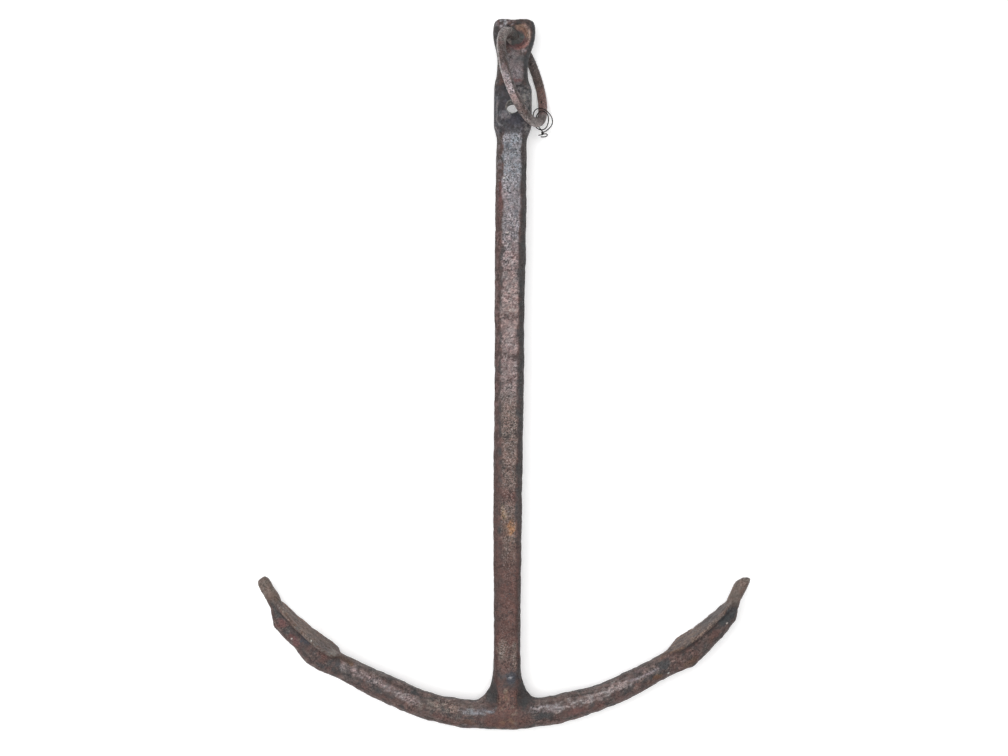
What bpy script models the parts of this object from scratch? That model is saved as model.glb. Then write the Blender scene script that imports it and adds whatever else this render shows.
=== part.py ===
"""Old forged iron anchor with its ring and a twist of tie wire, lying on its back.

Metres, +Z up. Y runs up the shank from the crown to the head, X runs across the arms, and the anchor rests
on the lower corners of its two palms and on the lowest point of its ring. The stock is lost.
"""

from math import asin, cos, pi, radians, sin, sqrt

import bpy
from mathutils import Euler, Vector

# ---------------------------------------------------------------- driving dimensions
# The pieces are laid out in the anchor's own frame: the shank's axis is X = 0, the crown's lowest point is
# Y = 0, and the middle of the bar's thickness is Z = 0.
HEIGHT = 1.1950  # crown to the top of the head
LEFT_REACH = 0.4209  # shank's axis to the left bill
RIGHT_REACH = 0.4081  # shank's axis to the right bill
PALM_HALF_WIDTH = 0.0535  # the palms' lower corners carry the crown end

# Shank: a square bar with broad chamfers, drawn down slightly from the stock boss to the crown and a little
# bowed. Each row is Y, X of the middle and half width.
SHANK_FOOT_Y = 0.118
SHANK_TOP_Y = 0.985
SHANK_FOOT_HALF_WIDTH = 0.0220
SHANK_ROWS = [
    (SHANK_FOOT_Y, 0.0000, SHANK_FOOT_HALF_WIDTH),
    (0.184, -0.0006, 0.0218),
    (0.318, -0.0012, 0.0232),
    (0.453, -0.0013, 0.0239),
    (0.588, -0.0004, 0.0243),
    (0.723, -0.0012, 0.0246),
    (0.790, -0.0005, 0.0256),
    (0.891, -0.0004, 0.0257),
    (0.960, -0.0003, 0.0250),
    (SHANK_TOP_Y, 0.0000, 0.0250),
]
SHANK_FOOT_HALF_DEPTH = 0.0235
SHANK_TOP_HALF_DEPTH = 0.0245
SHANK_FOOT_FACET = 0.68  # share of the front face that stays flat between the chamfers
SHANK_TOP_FACET = 0.58
SHANK_STEP = 0.02
CHAMFER_BULGE = -0.22  # below 0 a chamfer's middle stands out, at 1 it sinks to the inner corner
HAMMER_LONG_WAVE = 0.087
HAMMER_SHORT_WAVE = 0.039
HAMMER_DEPTH = 0.0003

# Head and stock boss, from the shank's top upwards: Y, X of the middle, half width, half depth. The boss has
# flat cheeks round the stock's hole.
BOSS_HALF_DEPTH = 0.0274
HEAD_ROWS = [
    (0.9898, 0.0002, 0.0251, 0.0245),
    (0.9975, 0.0006, 0.0262, 0.0247),
    (1.0065, 0.0012, 0.0290, 0.0254),
    (1.0150, 0.0014, 0.0315, 0.0270),
    (1.0180, 0.0015, 0.0318, BOSS_HALF_DEPTH),
    (1.0720, 0.0015, 0.0317, BOSS_HALF_DEPTH),
    (1.0795, 0.0010, 0.0310, 0.0260),
    (1.0870, -0.0002, 0.0289, 0.0236),
    (1.0970, -0.0002, 0.0265, 0.0212),
    (1.1080, 0.0001, 0.0257, 0.0198),
    (1.1220, 0.0007, 0.0259, 0.0184),
    (1.1320, 0.0013, 0.0269, 0.0174),
    (1.1420, 0.0020, 0.0296, 0.0166),
    (1.1520, 0.0024, 0.0326, 0.0160),
    (1.1620, 0.0026, 0.0348, 0.0160),
    (1.1720, 0.0027, 0.0357, 0.0160),
    (1.1820, 0.0028, 0.0350, 0.0159),
    (1.1894, 0.0027, 0.0329, 0.0145),
    (1.1932, 0.0021, 0.0290, 0.0120),
    (HEIGHT, 0.0012, 0.0244, 0.0094),
]
HEAD_CHAMFER = 0.0085
BOSS_FOOT_Y = 1.0065  # where the shank's broad chamfers give way to the boss's narrow ones
BOSS_SHOULDER = 0.0115
HEAD_NOTCH_RADIUS = 0.030
HEAD_NOTCH_DEPTH = 0.0014

EYE_X = 0.0052
EYE_Y = 1.1668
EYE_THROAT = 0.016
EYE_FLARE = 0.0234  # the ring has worn the mouth of the eye to this radius at the face
EYE_LAND = 0.003
EYE_FACE_Z = 0.0165
EYE_PROFILE_STEPS = 5

STOCK_HOLE_Y = 1.0450
STOCK_HOLE_RADIUS = 0.0105

# Crown: the shank's sides spread into the arms along a quarter of an ellipse.
SPREAD_TOP_Y = 0.108
SPREAD_FOOT_Y = 0.0465
SPREAD_WIDTH_LEFT = 0.0370
SPREAD_WIDTH_RIGHT = 0.0430
WEB_HALF_DEPTH = 0.0095
WEB_HOLLOW = 0.83
SPREAD_STATIONS = (SPREAD_FOOT_Y, 0.0475, 0.0495, 0.0525, 0.0570, 0.0630, 0.0710, 0.0810, 0.0930, 0.1070)
# The shank's ridge runs on over the arms to a rounded foot. Each row is Y, then the share of the shank's
# width and depth that is left.
FOOT_ROWS = [
    (0.0022, 0.55, 0.620),
    (0.0070, 0.78, 0.860),
    (0.0160, 0.90, 0.985),
    (0.0340, 0.93, 1.000),
]
FOOT_FLAT_WIDTH = 0.62
FOOT_FLAT_DEPTH = 0.45

# Arms: one bar bent to an arc. Each row is an angle round the arc's centre from straight down, then the
# inner and outer radius of the bar and its half depth.
ARC_X = -0.012
ARC_Y = 0.4935
ARM_ROWS_LEFT = [
    (-58.9, 0.4630, 0.4780, 0.0072),
    (-58.0, 0.4600, 0.4803, 0.0095),
    (-55.5, 0.4618, 0.4826, 0.0112),
    (-53.0, 0.4635, 0.4853, 0.0130),
    (-51.2, 0.4680, 0.4925, 0.0150),
    (-49.6, 0.4680, 0.4992, 0.0165),
    (-44.5, 0.4655, 0.4980, 0.0185),
    (-40.3, 0.4620, 0.5036, 0.0195),
    (-36.5, 0.4562, 0.4972, 0.0205),
    (-33.0, 0.4512, 0.4914, 0.0212),
    (-28.0, 0.4476, 0.4895, 0.0218),
    (-22.0, 0.4463, 0.4895, 0.0222),
    (-14.0, 0.4507, 0.4930, 0.0225),
    (-6.0, 0.4480, 0.4940, 0.0225),
]
ARM_ROWS_RIGHT = [
    (6.0, 0.4465, 0.4938, 0.0225),
    (14.0, 0.4462, 0.4914, 0.0225),
    (22.0, 0.4502, 0.4890, 0.0222),
    (28.0, 0.4502, 0.4902, 0.0218),
    (33.0, 0.4522, 0.4908, 0.0212),
    (36.8, 0.4552, 0.4950, 0.0205),
    (40.3, 0.4592, 0.5032, 0.0195),
    (44.5, 0.4650, 0.5014, 0.0185),
    (48.2, 0.4705, 0.5014, 0.0172),
    (52.2, 0.4750, 0.4999, 0.0155),
    (54.2, 0.4700, 0.4926, 0.0135),
    (56.0, 0.4672, 0.4878, 0.0118),
    (57.2, 0.4654, 0.4866, 0.0108),
    (58.6, 0.4650, 0.4852, 0.0100),
    (60.0, 0.4706, 0.4844, 0.0085),
    (60.6, 0.4765, 0.4828, 0.0065),
]
CROWN_OUTER = 0.4940
ARM_FACET = 0.40
ARM_STEP = 2.0

# Palms: flat shields across the ends of the arms, their faces turned to the shank. Each side gives the
# angles where the palm starts and ends, and the radius of its face there.
PALM_LEFT = (-36.0, -53.6, 0.4568, 0.4680)
PALM_RIGHT = (38.2, 55.4, 0.4562, 0.4730)
PALM_THICKNESS = 0.0115
PALM_EDGE_THICKNESS = 0.0042
PALM_EDGE_CHAMFER = 0.0006
PALM_ROOT_HALF_WIDTH = 0.013
# Share of the palm's length from its broad end, then the half widths of its lower and upper wings there.
PALM_OUTLINE_LEFT = [
    (0.00, 0.026, 0.024),
    (0.03, 0.040, 0.037),
    (0.08, 0.050, 0.048),
    (0.15, PALM_HALF_WIDTH, 0.054),
    (0.29, PALM_HALF_WIDTH, 0.055),
    (0.45, 0.049, 0.050),
    (0.62, 0.043, 0.042),
    (0.78, 0.036, 0.033),
    (0.90, 0.028, 0.024),
    (1.00, 0.014, 0.012),
]
PALM_OUTLINE_RIGHT = [
    (0.00, 0.024, 0.022),
    (0.05, 0.036, 0.031),
    (0.13, 0.048, 0.040),
    (0.19, PALM_HALF_WIDTH, 0.044),
    (0.29, PALM_HALF_WIDTH, 0.047),
    (0.42, 0.043, 0.046),
    (0.60, 0.036, 0.041),
    (0.76, 0.030, 0.034),
    (0.89, 0.023, 0.024),
    (1.00, 0.012, 0.012),
]

# Ring: passes through the eye and leans on the right side of the stock boss.
RING_RADIUS = 0.0794
RING_BAR = 0.008
RING_SWING = radians(17.5)  # of the ring's axis from X towards Y
RING_LEAN = radians(20.5)  # of the ring's axis above level

# Tie wire: two loose turns round the ring's bar and a twist, in the frame of the bar where it crosses Z = 0:
# outwards, up the shank, and along the bar.
WIRE_RADIUS = 0.001
WIRE_START = [(-0.0042, -0.0276, 0.0022), (-0.0010, -0.0268, 0.0019)]
WIRE_OUTER_TURN = [
    (0.0072, -0.0205, 0.0018),
    (0.0134, -0.0146, 0.0026),
    (0.0182, -0.0088, 0.0030),
    (0.0202, -0.0015, 0.0031),
    (0.0189, 0.0058, 0.0031),
    (0.0148, 0.0124, 0.0030),
    (0.0084, 0.0182, 0.0029),
    (0.0008, 0.0212, 0.0027),
    (-0.0066, 0.0196, 0.0023),
    (-0.0114, 0.0150, 0.0018),
    (-0.0131, 0.0084, 0.0012),
    (-0.0131, 0.0010, 0.0005),
    (-0.0124, -0.0065, -0.0002),
    (-0.0096, -0.0132, -0.0008),
    (-0.0042, -0.0180, -0.0013),
    (0.0022, -0.0188, -0.0020),
]
WIRE_INNER_TURN = [
    (0.0076, -0.0158, -0.0027),
    (0.0108, -0.0096, -0.0030),
    (0.0122, -0.0024, -0.0031),
    (0.0119, 0.0048, -0.0032),
    (0.0088, 0.0112, -0.0033),
    (0.0028, 0.0142, -0.0034),
    (-0.0038, 0.0122, -0.0035),
    (-0.0079, 0.0064, -0.0036),
    (-0.0092, -0.0008, -0.0036),
    (-0.0086, -0.0078, -0.0037),
    (-0.0052, -0.0138, -0.0037),
]
WIRE_END = [
    (0.0094, -0.0256, -0.0026),
    (0.0110, -0.0278, -0.0024),
    (0.0082, -0.0304, -0.0020),
    (0.0034, -0.0312, -0.0016),
    (-0.0004, -0.0310, -0.0012),
]
TWIST_TOP = Vector((0.0022, -0.0220, 0.0))
TWIST_FOOT = Vector((0.0038, -0.0258, 0.0))
TWIST_RADIUS = 0.0014
TWIST_TURNS = 0.75

# ---------------------------------------------------------------- values that follow
MIDDLE_X = (RIGHT_REACH - LEFT_REACH) / 2
MIDDLE_Y = (HEIGHT + ARC_Y - CROWN_OUTER) / 2
REST_HEIGHT = PALM_HALF_WIDTH
PLACE = Vector((-MIDDLE_X, -MIDDLE_Y, REST_HEIGHT))

# Directions in the ring's plane: level, running down the shank, and up the lean.
RING_LEVEL = Vector((sin(RING_SWING), -cos(RING_SWING), 0))
RING_UP = Vector(
    (-sin(RING_LEAN) * cos(RING_SWING), -sin(RING_LEAN) * sin(RING_SWING), cos(RING_LEAN))
)
RING_CENTRE_Z = RING_RADIUS * cos(RING_LEAN) + RING_BAR - REST_HEIGHT
RING_CROSSING = asin(-RING_CENTRE_Z / (RING_RADIUS * cos(RING_LEAN)))
EYE = Vector((EYE_X, EYE_Y, 0))


def ring_point(angle):
    """A point of the ring's centre line, from the ring's own centre."""
    return RING_RADIUS * (cos(angle) * RING_LEVEL + sin(angle) * RING_UP)


RING_CENTRE = EYE - ring_point(pi - RING_CROSSING)


# ---------------------------------------------------------------- scene, collections and materials
def clear_scene():
    for leftover in list(bpy.data.objects):
        bpy.data.objects.remove(leftover, do_unlink=True)


def new_collection(name):
    group = bpy.data.collections.new(name)
    bpy.context.scene.collection.children.link(group)
    return group


def iron(name, colour, roughness, metallic):
    material = bpy.data.materials.new(name)
    material.use_nodes = True
    shader = material.node_tree.nodes["Principled BSDF"]
    shader.inputs["Base Color"].default_value = (*colour, 1)
    shader.inputs["Roughness"].default_value = roughness
    shader.inputs["Metallic"].default_value = metallic
    return material


def add_object(name, data, group, material=None, location=PLACE):
    made = bpy.data.objects.new(name, data)
    made.location = location
    group.objects.link(made)
    if material:
        data.materials.append(material)
    return made


def make_helper(made):
    made.hide_render = True
    made.display_type = "WIRE"
    return made


# ---------------------------------------------------------------- lofted bars
def between(rows, at):
    """Values of a table's row at a position between two of its rows."""
    if at <= rows[0][0]:
        return rows[0][1:]
    for low, high in zip(rows, rows[1:]):
        if at <= high[0]:
            share = (at - low[0]) / (high[0] - low[0])
            return tuple(a + share * (b - a) for a, b in zip(low[1:], high[1:]))
    return rows[-1][1:]


def hammered(along):
    """The slow waves that hand forging leaves along a bar."""
    long_wave = sin(2 * pi * along / HAMMER_LONG_WAVE + 0.6)
    short_wave = sin(2 * pi * along / HAMMER_SHORT_WAVE + 2.1)
    return HAMMER_DEPTH * (long_wave + 0.6 * short_wave)


def bar_section(half_width, half_depth, flat_width, flat_depth, hollow=CHAMFER_BULGE):
    """Twelve points of a chamfered bar, each chamfer with a middle point."""
    front = Vector((flat_width, half_depth))
    side = Vector((half_width, flat_depth))
    middle = (front + side) / 2 * (1 - hollow) + Vector((front.x, side.y)) * hollow
    quarter = [side, middle, front]
    points = [(p.x, p.y) for p in quarter]
    points += [(-p.x, p.y) for p in reversed(quarter)]
    points += [(-p.x, -p.y) for p in quarter]
    points += [(p.x, -p.y) for p in reversed(quarter)]
    return points


def loft(name, sections):
    """A closed mesh through a list of sections with the same number of points."""
    count = len(sections[0])
    points = [point for section in sections for point in section]
    faces = [tuple(range(count))]
    for row in range(len(sections) - 1):
        for k in range(count):
            a = row * count + k
            b = row * count + (k + 1) % count
            faces.append((a, a + count, b + count, b))
    faces.append(tuple(reversed(range(len(points) - count, len(points)))))
    mesh = bpy.data.meshes.new(name)
    mesh.from_pydata(points, [], faces)
    mesh.validate()
    return mesh


def spread(y):
    """Share of the spread into the arms that is reached, and share of its width."""
    if y >= SPREAD_TOP_Y:
        return 0.0, 0.0
    reached = min(1.0, (SPREAD_TOP_Y - y) / (SPREAD_TOP_Y - SPREAD_FOOT_Y))
    return reached, 1 - sqrt(1 - reached * reached)


def shank_section(y):
    share = (y - SHANK_FOOT_Y) / (SHANK_TOP_Y - SHANK_FOOT_Y)
    share = min(1.0, max(0.0, share))
    middle, half_width = between(SHANK_ROWS, y)
    half_depth = SHANK_FOOT_HALF_DEPTH + share * (SHANK_TOP_HALF_DEPTH - SHANK_FOOT_HALF_DEPTH)
    facet = SHANK_FOOT_FACET + share * (SHANK_TOP_FACET - SHANK_FOOT_FACET)
    half_width += hammered(y)
    half_depth += hammered(y + 0.02)
    flat_width = half_width * facet
    flat_depth = half_depth * facet
    reached, out = spread(y)
    flat_depth += reached * (WEB_HALF_DEPTH - flat_depth)
    hollow = CHAMFER_BULGE + reached * (WEB_HOLLOW - CHAMFER_BULGE)
    middle += out * (SPREAD_WIDTH_RIGHT - SPREAD_WIDTH_LEFT) / 2
    half_width += out * (SPREAD_WIDTH_RIGHT + SPREAD_WIDTH_LEFT) / 2
    ring = bar_section(half_width, half_depth, flat_width, flat_depth, hollow)
    return [(middle + x, y, z) for x, z in ring]


def foot_section(y, width_share, depth_share):
    """One section of the rounded foot of the shank's ridge."""
    ring = bar_section(
        SHANK_FOOT_HALF_WIDTH * width_share,
        SHANK_FOOT_HALF_DEPTH * depth_share,
        SHANK_FOOT_HALF_WIDTH * FOOT_FLAT_WIDTH * width_share,
        SHANK_FOOT_HALF_DEPTH * FOOT_FLAT_DEPTH * depth_share,
    )
    return [(x, y, z) for x, z in ring]


def head_section(y, middle, half_width, half_depth):
    chamfer = min(HEAD_CHAMFER, 0.42 * half_depth, 0.35 * half_width)
    reach = min(1.0, max(0.0, (y - BOSS_FOOT_Y) / BOSS_SHOULDER))
    flat_width = half_width * SHANK_TOP_FACET * (1 - reach) + (half_width - chamfer) * reach
    flat_depth = half_depth * SHANK_TOP_FACET * (1 - reach) + (half_depth - chamfer) * reach
    ring = bar_section(half_width, half_depth, flat_width, flat_depth)
    return [(middle + x, y, z) for x, z in ring]


def shank_mesh():
    sections = [foot_section(*row) for row in FOOT_ROWS]
    sections += [shank_section(y) for y in SPREAD_STATIONS]
    steps = int((SHANK_TOP_Y - SHANK_FOOT_Y) / SHANK_STEP)
    sections += [
        shank_section(SHANK_FOOT_Y + (SHANK_TOP_Y - SHANK_FOOT_Y) * k / steps) for k in range(steps + 1)
    ]
    sections += [head_section(*row) for row in HEAD_ROWS]
    return loft("shank", sections)


# ---------------------------------------------------------------- arms and palms
def on_arc(angle, radius, z):
    turn = radians(angle)
    return (ARC_X + radius * sin(turn), ARC_Y - radius * cos(turn), z)


def arm_section(angle, inner, outer, half_depth):
    half = (outer - inner) / 2
    middle = (outer + inner) / 2 + hammered(radians(angle) * CROWN_OUTER)
    ring = bar_section(half, half_depth, half * ARM_FACET, half_depth * ARM_FACET)
    return [on_arc(angle, middle + across, z) for across, z in ring]


def arm_mesh():
    rows = ARM_ROWS_LEFT + ARM_ROWS_RIGHT
    angles = sorted(
        {row[0] for row in rows} | {k * ARM_STEP for k in range(-int(50 / ARM_STEP), int(50 / ARM_STEP) + 1)}
    )
    return loft("arms", [arm_section(angle, *between(rows, angle)) for angle in reversed(angles)])


def palm_section(angle, face, lower, upper, mirrored):
    """The palm's section: a flat face, and a back that thickens from the thin edges to the arm."""
    root = min(PALM_ROOT_HALF_WIDTH, 0.7 * lower)
    edge = face + PALM_EDGE_THICKNESS
    ring = [
        (face + PALM_EDGE_CHAMFER, -lower),
        (edge, -lower),
        (face + PALM_THICKNESS, -root),
        (face + PALM_THICKNESS, root),
        (edge, upper),
        (face + PALM_EDGE_CHAMFER, upper),
        (face, upper - PALM_EDGE_CHAMFER),
        (face, -lower + PALM_EDGE_CHAMFER),
    ]
    if mirrored:
        ring.reverse()
    return [on_arc(angle, radius, z) for radius, z in ring]


def palm_mesh(name, outline, start, end, start_face, end_face):
    sections = []
    for share, lower, upper in outline:
        angle = start + share * (end - start)
        face = start_face + share * (end_face - start_face)
        sections.append(palm_section(angle, face, lower, upper, end > start))
    return loft(name, sections)


# ---------------------------------------------------------------- holes
def eye_cutter_mesh():
    """Half outline of the eye, top to bottom: a narrow land with a worn bell mouth on each side."""
    mouth = []
    for k in range(EYE_PROFILE_STEPS + 1):
        share = k / EYE_PROFILE_STEPS
        radius = EYE_THROAT + (EYE_FLARE - EYE_THROAT) * share**1.5
        mouth.append((radius, EYE_LAND + share * (EYE_FACE_Z - EYE_LAND)))
    outside = (EYE_FLARE + 0.004, EYE_FACE_Z + 0.006)
    upper = [(0.0, outside[1]), outside] + mouth[::-1]
    outline = upper + [(radius, -z) for radius, z in reversed(upper)]
    mesh = bpy.data.meshes.new("eye_cutter")
    mesh.from_pydata(
        [(radius, 0, z) for radius, z in outline], [(k, k + 1) for k in range(len(outline) - 1)], []
    )
    return mesh


def turn_profile(made, steps):
    turned = made.modifiers.new("turned", "SCREW")
    turned.steps = steps
    turned.render_steps = steps
    turned.use_merge_vertices = True
    turned.merge_threshold = 0.0001
    turned.use_smooth_shade = False


def cylinder(name, radius, depth, location, vertices, group):
    bpy.ops.mesh.primitive_cylinder_add(vertices=vertices, radius=radius, depth=depth, location=location)
    made = bpy.context.active_object
    made.name = name
    for owner in list(made.users_collection):
        owner.objects.unlink(made)
    group.objects.link(made)
    return make_helper(made)


def boolean(target, other, operation):
    step = target.modifiers.new(other.name, "BOOLEAN")
    step.operation = operation
    step.solver = "EXACT"
    step.object = other


def build_forging(group, helpers, material):
    """Shank, head, stock boss, crown, arms and palms are one forging."""
    forging = add_object("anchor_forging", shank_mesh(), group, material)
    arms = make_helper(add_object("arms_shape", arm_mesh(), helpers))
    boolean(forging, arms, "UNION")
    for name, outline, place in (
        ("left_palm_shape", PALM_OUTLINE_LEFT, PALM_LEFT),
        ("right_palm_shape", PALM_OUTLINE_RIGHT, PALM_RIGHT),
    ):
        palm = make_helper(add_object(name, palm_mesh(name, outline, *place), helpers))
        boolean(forging, palm, "UNION")
    eye = make_helper(add_object("eye_cutter", eye_cutter_mesh(), helpers, location=PLACE + EYE))
    turn_profile(eye, 32)
    boolean(forging, eye, "DIFFERENCE")
    hole_place = PLACE + Vector((HEAD_ROWS[3][1], STOCK_HOLE_Y, 0))
    hole = cylinder("stock_hole_cutter", STOCK_HOLE_RADIUS, 0.08, hole_place, 28, helpers)
    boolean(forging, hole, "DIFFERENCE")
    notch_place = PLACE + Vector((HEAD_ROWS[-1][1], HEIGHT + HEAD_NOTCH_RADIUS - HEAD_NOTCH_DEPTH, 0))
    notch = cylinder("head_notch_cutter", HEAD_NOTCH_RADIUS, 0.06, notch_place, 48, helpers)
    boolean(forging, notch, "DIFFERENCE")
    return forging


# ---------------------------------------------------------------- ring and wire
def build_ring(group, pivot, material):
    bpy.ops.mesh.primitive_torus_add(
        major_segments=64, minor_segments=14, major_radius=RING_RADIUS, minor_radius=RING_BAR
    )
    ring = bpy.context.active_object
    ring.name = "ring"
    for owner in list(ring.users_collection):
        owner.objects.unlink(ring)
    group.objects.link(ring)
    ring.parent = pivot
    ring.location = RING_CENTRE - EYE
    ring.rotation_euler = Euler((0, pi / 2 - RING_LEAN, RING_SWING))
    ring.data.materials.append(material)
    ring.data.shade_smooth()
    return ring


def smooth_route(points, per_span):
    """A curve through every point, each span bent by its neighbours."""
    route = []
    for k in range(len(points) - 1):
        before = points[max(k - 1, 0)]
        start = points[k]
        end = points[k + 1]
        after = points[min(k + 2, len(points) - 1)]
        for step in range(per_span):
            t = step / per_span
            route.append(
                0.5
                * (
                    2 * start
                    + (end - before) * t
                    + (2 * before - 5 * start + 4 * end - after) * t**2
                    + (3 * start - before - 3 * end + after) * t**3
                )
            )
    route.append(points[-1])
    return route


def twist(phase, downwards):
    """One strand of the twisted knot."""
    strand = []
    axis = (TWIST_FOOT - TWIST_TOP).normalized()
    aside = Vector((0, 0, 1)).cross(axis)
    for k in range(7):
        share = k / 6 if downwards else 1 - k / 6
        turn = phase + 2 * pi * TWIST_TURNS * share
        centre = TWIST_TOP.lerp(TWIST_FOOT, share)
        strand.append(centre + TWIST_RADIUS * (cos(turn) * aside + sin(turn) * Vector((0, 0, 1))))
    return strand


def wire_points():
    """The wire's centre line, from the pivot in the eye."""
    along = (-sin(RING_CROSSING) * RING_LEVEL + cos(RING_CROSSING) * RING_UP).normalized()
    outwards = (Vector((1, 0, 0)) - along.x * along).normalized()
    upwards = along.cross(outwards)
    bar = RING_CENTRE - EYE + ring_point(RING_CROSSING)
    local = [Vector(p) for p in WIRE_START] + twist(pi, False)
    local += [Vector(p) for p in WIRE_OUTER_TURN + WIRE_INNER_TURN]
    local += twist(0, True) + [Vector(p) for p in WIRE_END]
    return [bar + p.x * outwards + p.y * upwards + p.z * along for p in smooth_route(local, 2)]


def build_wire(group, pivot, material):
    route = wire_points()
    curve = bpy.data.curves.new("tie_wire", "CURVE")
    curve.dimensions = "3D"
    curve.bevel_depth = WIRE_RADIUS
    curve.bevel_resolution = 2
    curve.use_fill_caps = True
    spline = curve.splines.new("POLY")
    spline.points.add(len(route) - 1)
    for point, place in zip(spline.points, route):
        point.co = (*place, 1)
    wire = add_object("tie_wire", curve, group, material, location=Vector((0, 0, 0)))
    wire.parent = pivot
    return wire


def main():
    clear_scene()
    group = new_collection("anchor")
    helpers = new_collection("cutters")
    forging_iron = iron("forging_iron", (0.085, 0.058, 0.050), 0.72, 0.35)
    ring_iron = iron("ring_iron", (0.115, 0.066, 0.050), 0.70, 0.35)
    wire_iron = iron("wire_iron", (0.020, 0.018, 0.018), 0.55, 0.60)
    build_forging(group, helpers, forging_iron)
    pivot = bpy.data.objects.new("ring_pivot", None)
    pivot.location = PLACE + EYE
    group.objects.link(pivot)
    build_ring(group, pivot, ring_iron)
    build_wire(group, pivot, wire_iron)


main()
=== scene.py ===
"""Old forged iron anchor lying on its back on a pale floor, with its ring and a twist of tie wire.

Metres, +Z up. Y runs up the shank from the crown to the head, X runs across the arms.
"""

from math import cos, pi, radians, sin

import bmesh
import bpy
import numpy as np
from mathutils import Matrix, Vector, noise


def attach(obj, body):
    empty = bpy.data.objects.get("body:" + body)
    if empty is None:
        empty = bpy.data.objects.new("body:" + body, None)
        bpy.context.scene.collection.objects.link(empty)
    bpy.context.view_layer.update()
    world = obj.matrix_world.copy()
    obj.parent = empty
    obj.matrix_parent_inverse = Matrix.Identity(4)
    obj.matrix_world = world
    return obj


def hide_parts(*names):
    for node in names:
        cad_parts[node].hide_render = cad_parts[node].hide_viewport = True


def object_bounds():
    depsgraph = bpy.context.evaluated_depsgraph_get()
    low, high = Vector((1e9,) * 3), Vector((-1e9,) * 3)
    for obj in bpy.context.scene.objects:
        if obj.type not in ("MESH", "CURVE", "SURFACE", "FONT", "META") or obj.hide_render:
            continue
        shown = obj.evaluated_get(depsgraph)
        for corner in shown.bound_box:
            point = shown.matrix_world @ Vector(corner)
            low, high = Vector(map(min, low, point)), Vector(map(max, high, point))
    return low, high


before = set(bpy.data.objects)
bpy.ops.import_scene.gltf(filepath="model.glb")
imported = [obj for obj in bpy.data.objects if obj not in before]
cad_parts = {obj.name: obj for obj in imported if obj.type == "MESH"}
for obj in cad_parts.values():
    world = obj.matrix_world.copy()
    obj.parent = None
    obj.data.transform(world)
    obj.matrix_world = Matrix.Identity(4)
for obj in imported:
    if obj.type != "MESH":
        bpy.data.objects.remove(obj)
cad_low, cad_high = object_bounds()

# ---------------------------------------------------------------- Studio
# A plain pale floor under three soft lights, seen from straight above. One big softbox hangs overhead and
# makes the flat worn faces shine, and two weaker ones keep the sides of the bars from going black.
FLOOR_HALF = 9.0
FLOOR_COLOUR = (0.93, 0.93, 0.93, 1)
FLOOR_GLOW = 0.22  # the floor is a pale sheet lit a little from behind, which thins the shadows
FLOOR_ROUGHNESS = 0.9
FLOOR_SHINE = 0.1
LAMP_WHITE = (1, 1, 1, 1)
CAMERA_PLACE = (-0.0030, -0.0059, 3.0023)
CAMERA_TURN = 0.0088
CAMERA_LENS = 62.5
SKY_LIGHT = 0.34
# Name, place, size, watts; each light looks at the middle of the anchor.
SOFTBOXES = [
    ("overhead_softbox", (-0.30, 0.10, 3.6), 2.4, 112),
    ("left_softbox", (-2.6, -0.6, 1.9), 1.6, 19),
    ("right_softbox", (2.8, 0.8, 2.0), 1.6, 8),
]

floor_sheet = bmesh.new()
bmesh.ops.create_grid(floor_sheet, x_segments=2, y_segments=2, size=FLOOR_HALF)
floor_mesh = bpy.data.meshes.new("floor")
floor_sheet.to_mesh(floor_mesh)
floor_sheet.free()
floor = bpy.data.objects.new("floor", floor_mesh)
bpy.context.scene.collection.objects.link(floor)
floor_paint = bpy.data.materials.new("floor_paint")
floor_paint.use_nodes = True
floor_shader = floor_paint.node_tree.nodes["Principled BSDF"]
floor_shader.inputs["Base Color"].default_value = FLOOR_COLOUR
floor_shader.inputs["Roughness"].default_value = FLOOR_ROUGHNESS
floor_shader.inputs["Specular IOR Level"].default_value = FLOOR_SHINE
floor_shader.inputs["Emission Color"].default_value = LAMP_WHITE
floor_shader.inputs["Emission Strength"].default_value = FLOOR_GLOW
floor_mesh.materials.append(floor_paint)

for name, place, size, watts in SOFTBOXES:
    lamp = bpy.data.lights.new(name, "AREA")
    lamp.size = size
    lamp.energy = watts
    box = bpy.data.objects.new(name, lamp)
    box.location = place
    box.rotation_euler = (-Vector(place)).to_track_quat("-Z", "Y").to_euler()
    bpy.context.scene.collection.objects.link(box)

sky = bpy.data.worlds.new("studio_walls")
sky.use_nodes = True
sky_shader = sky.node_tree.nodes["Background"]
sky_shader.inputs["Color"].default_value = LAMP_WHITE
sky_shader.inputs["Strength"].default_value = SKY_LIGHT
bpy.context.scene.world = sky
bpy.context.scene.view_settings.view_transform = "Standard"

camera_data = bpy.data.cameras.new("camera")
camera_data.lens = CAMERA_LENS
camera = bpy.data.objects.new("camera", camera_data)
camera.location = CAMERA_PLACE
camera.rotation_euler = (0, 0, CAMERA_TURN)
bpy.context.scene.collection.objects.link(camera)
bpy.context.scene.camera = camera

# ---------------------------------------------------------------- Anchor forging: its metal
# Shank, head, stock boss, crown, arms and palms are one wrought-iron forging, hammered from a square bar
# with its corners beaten off. The skin of the copy below is meshed finely, so that hammer marks, dents and
# rust pits are cut into the iron itself.
SKIN_GRID = 0.00217
MERGE_GAP = 0.00001  # vertices closer than this are one
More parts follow.
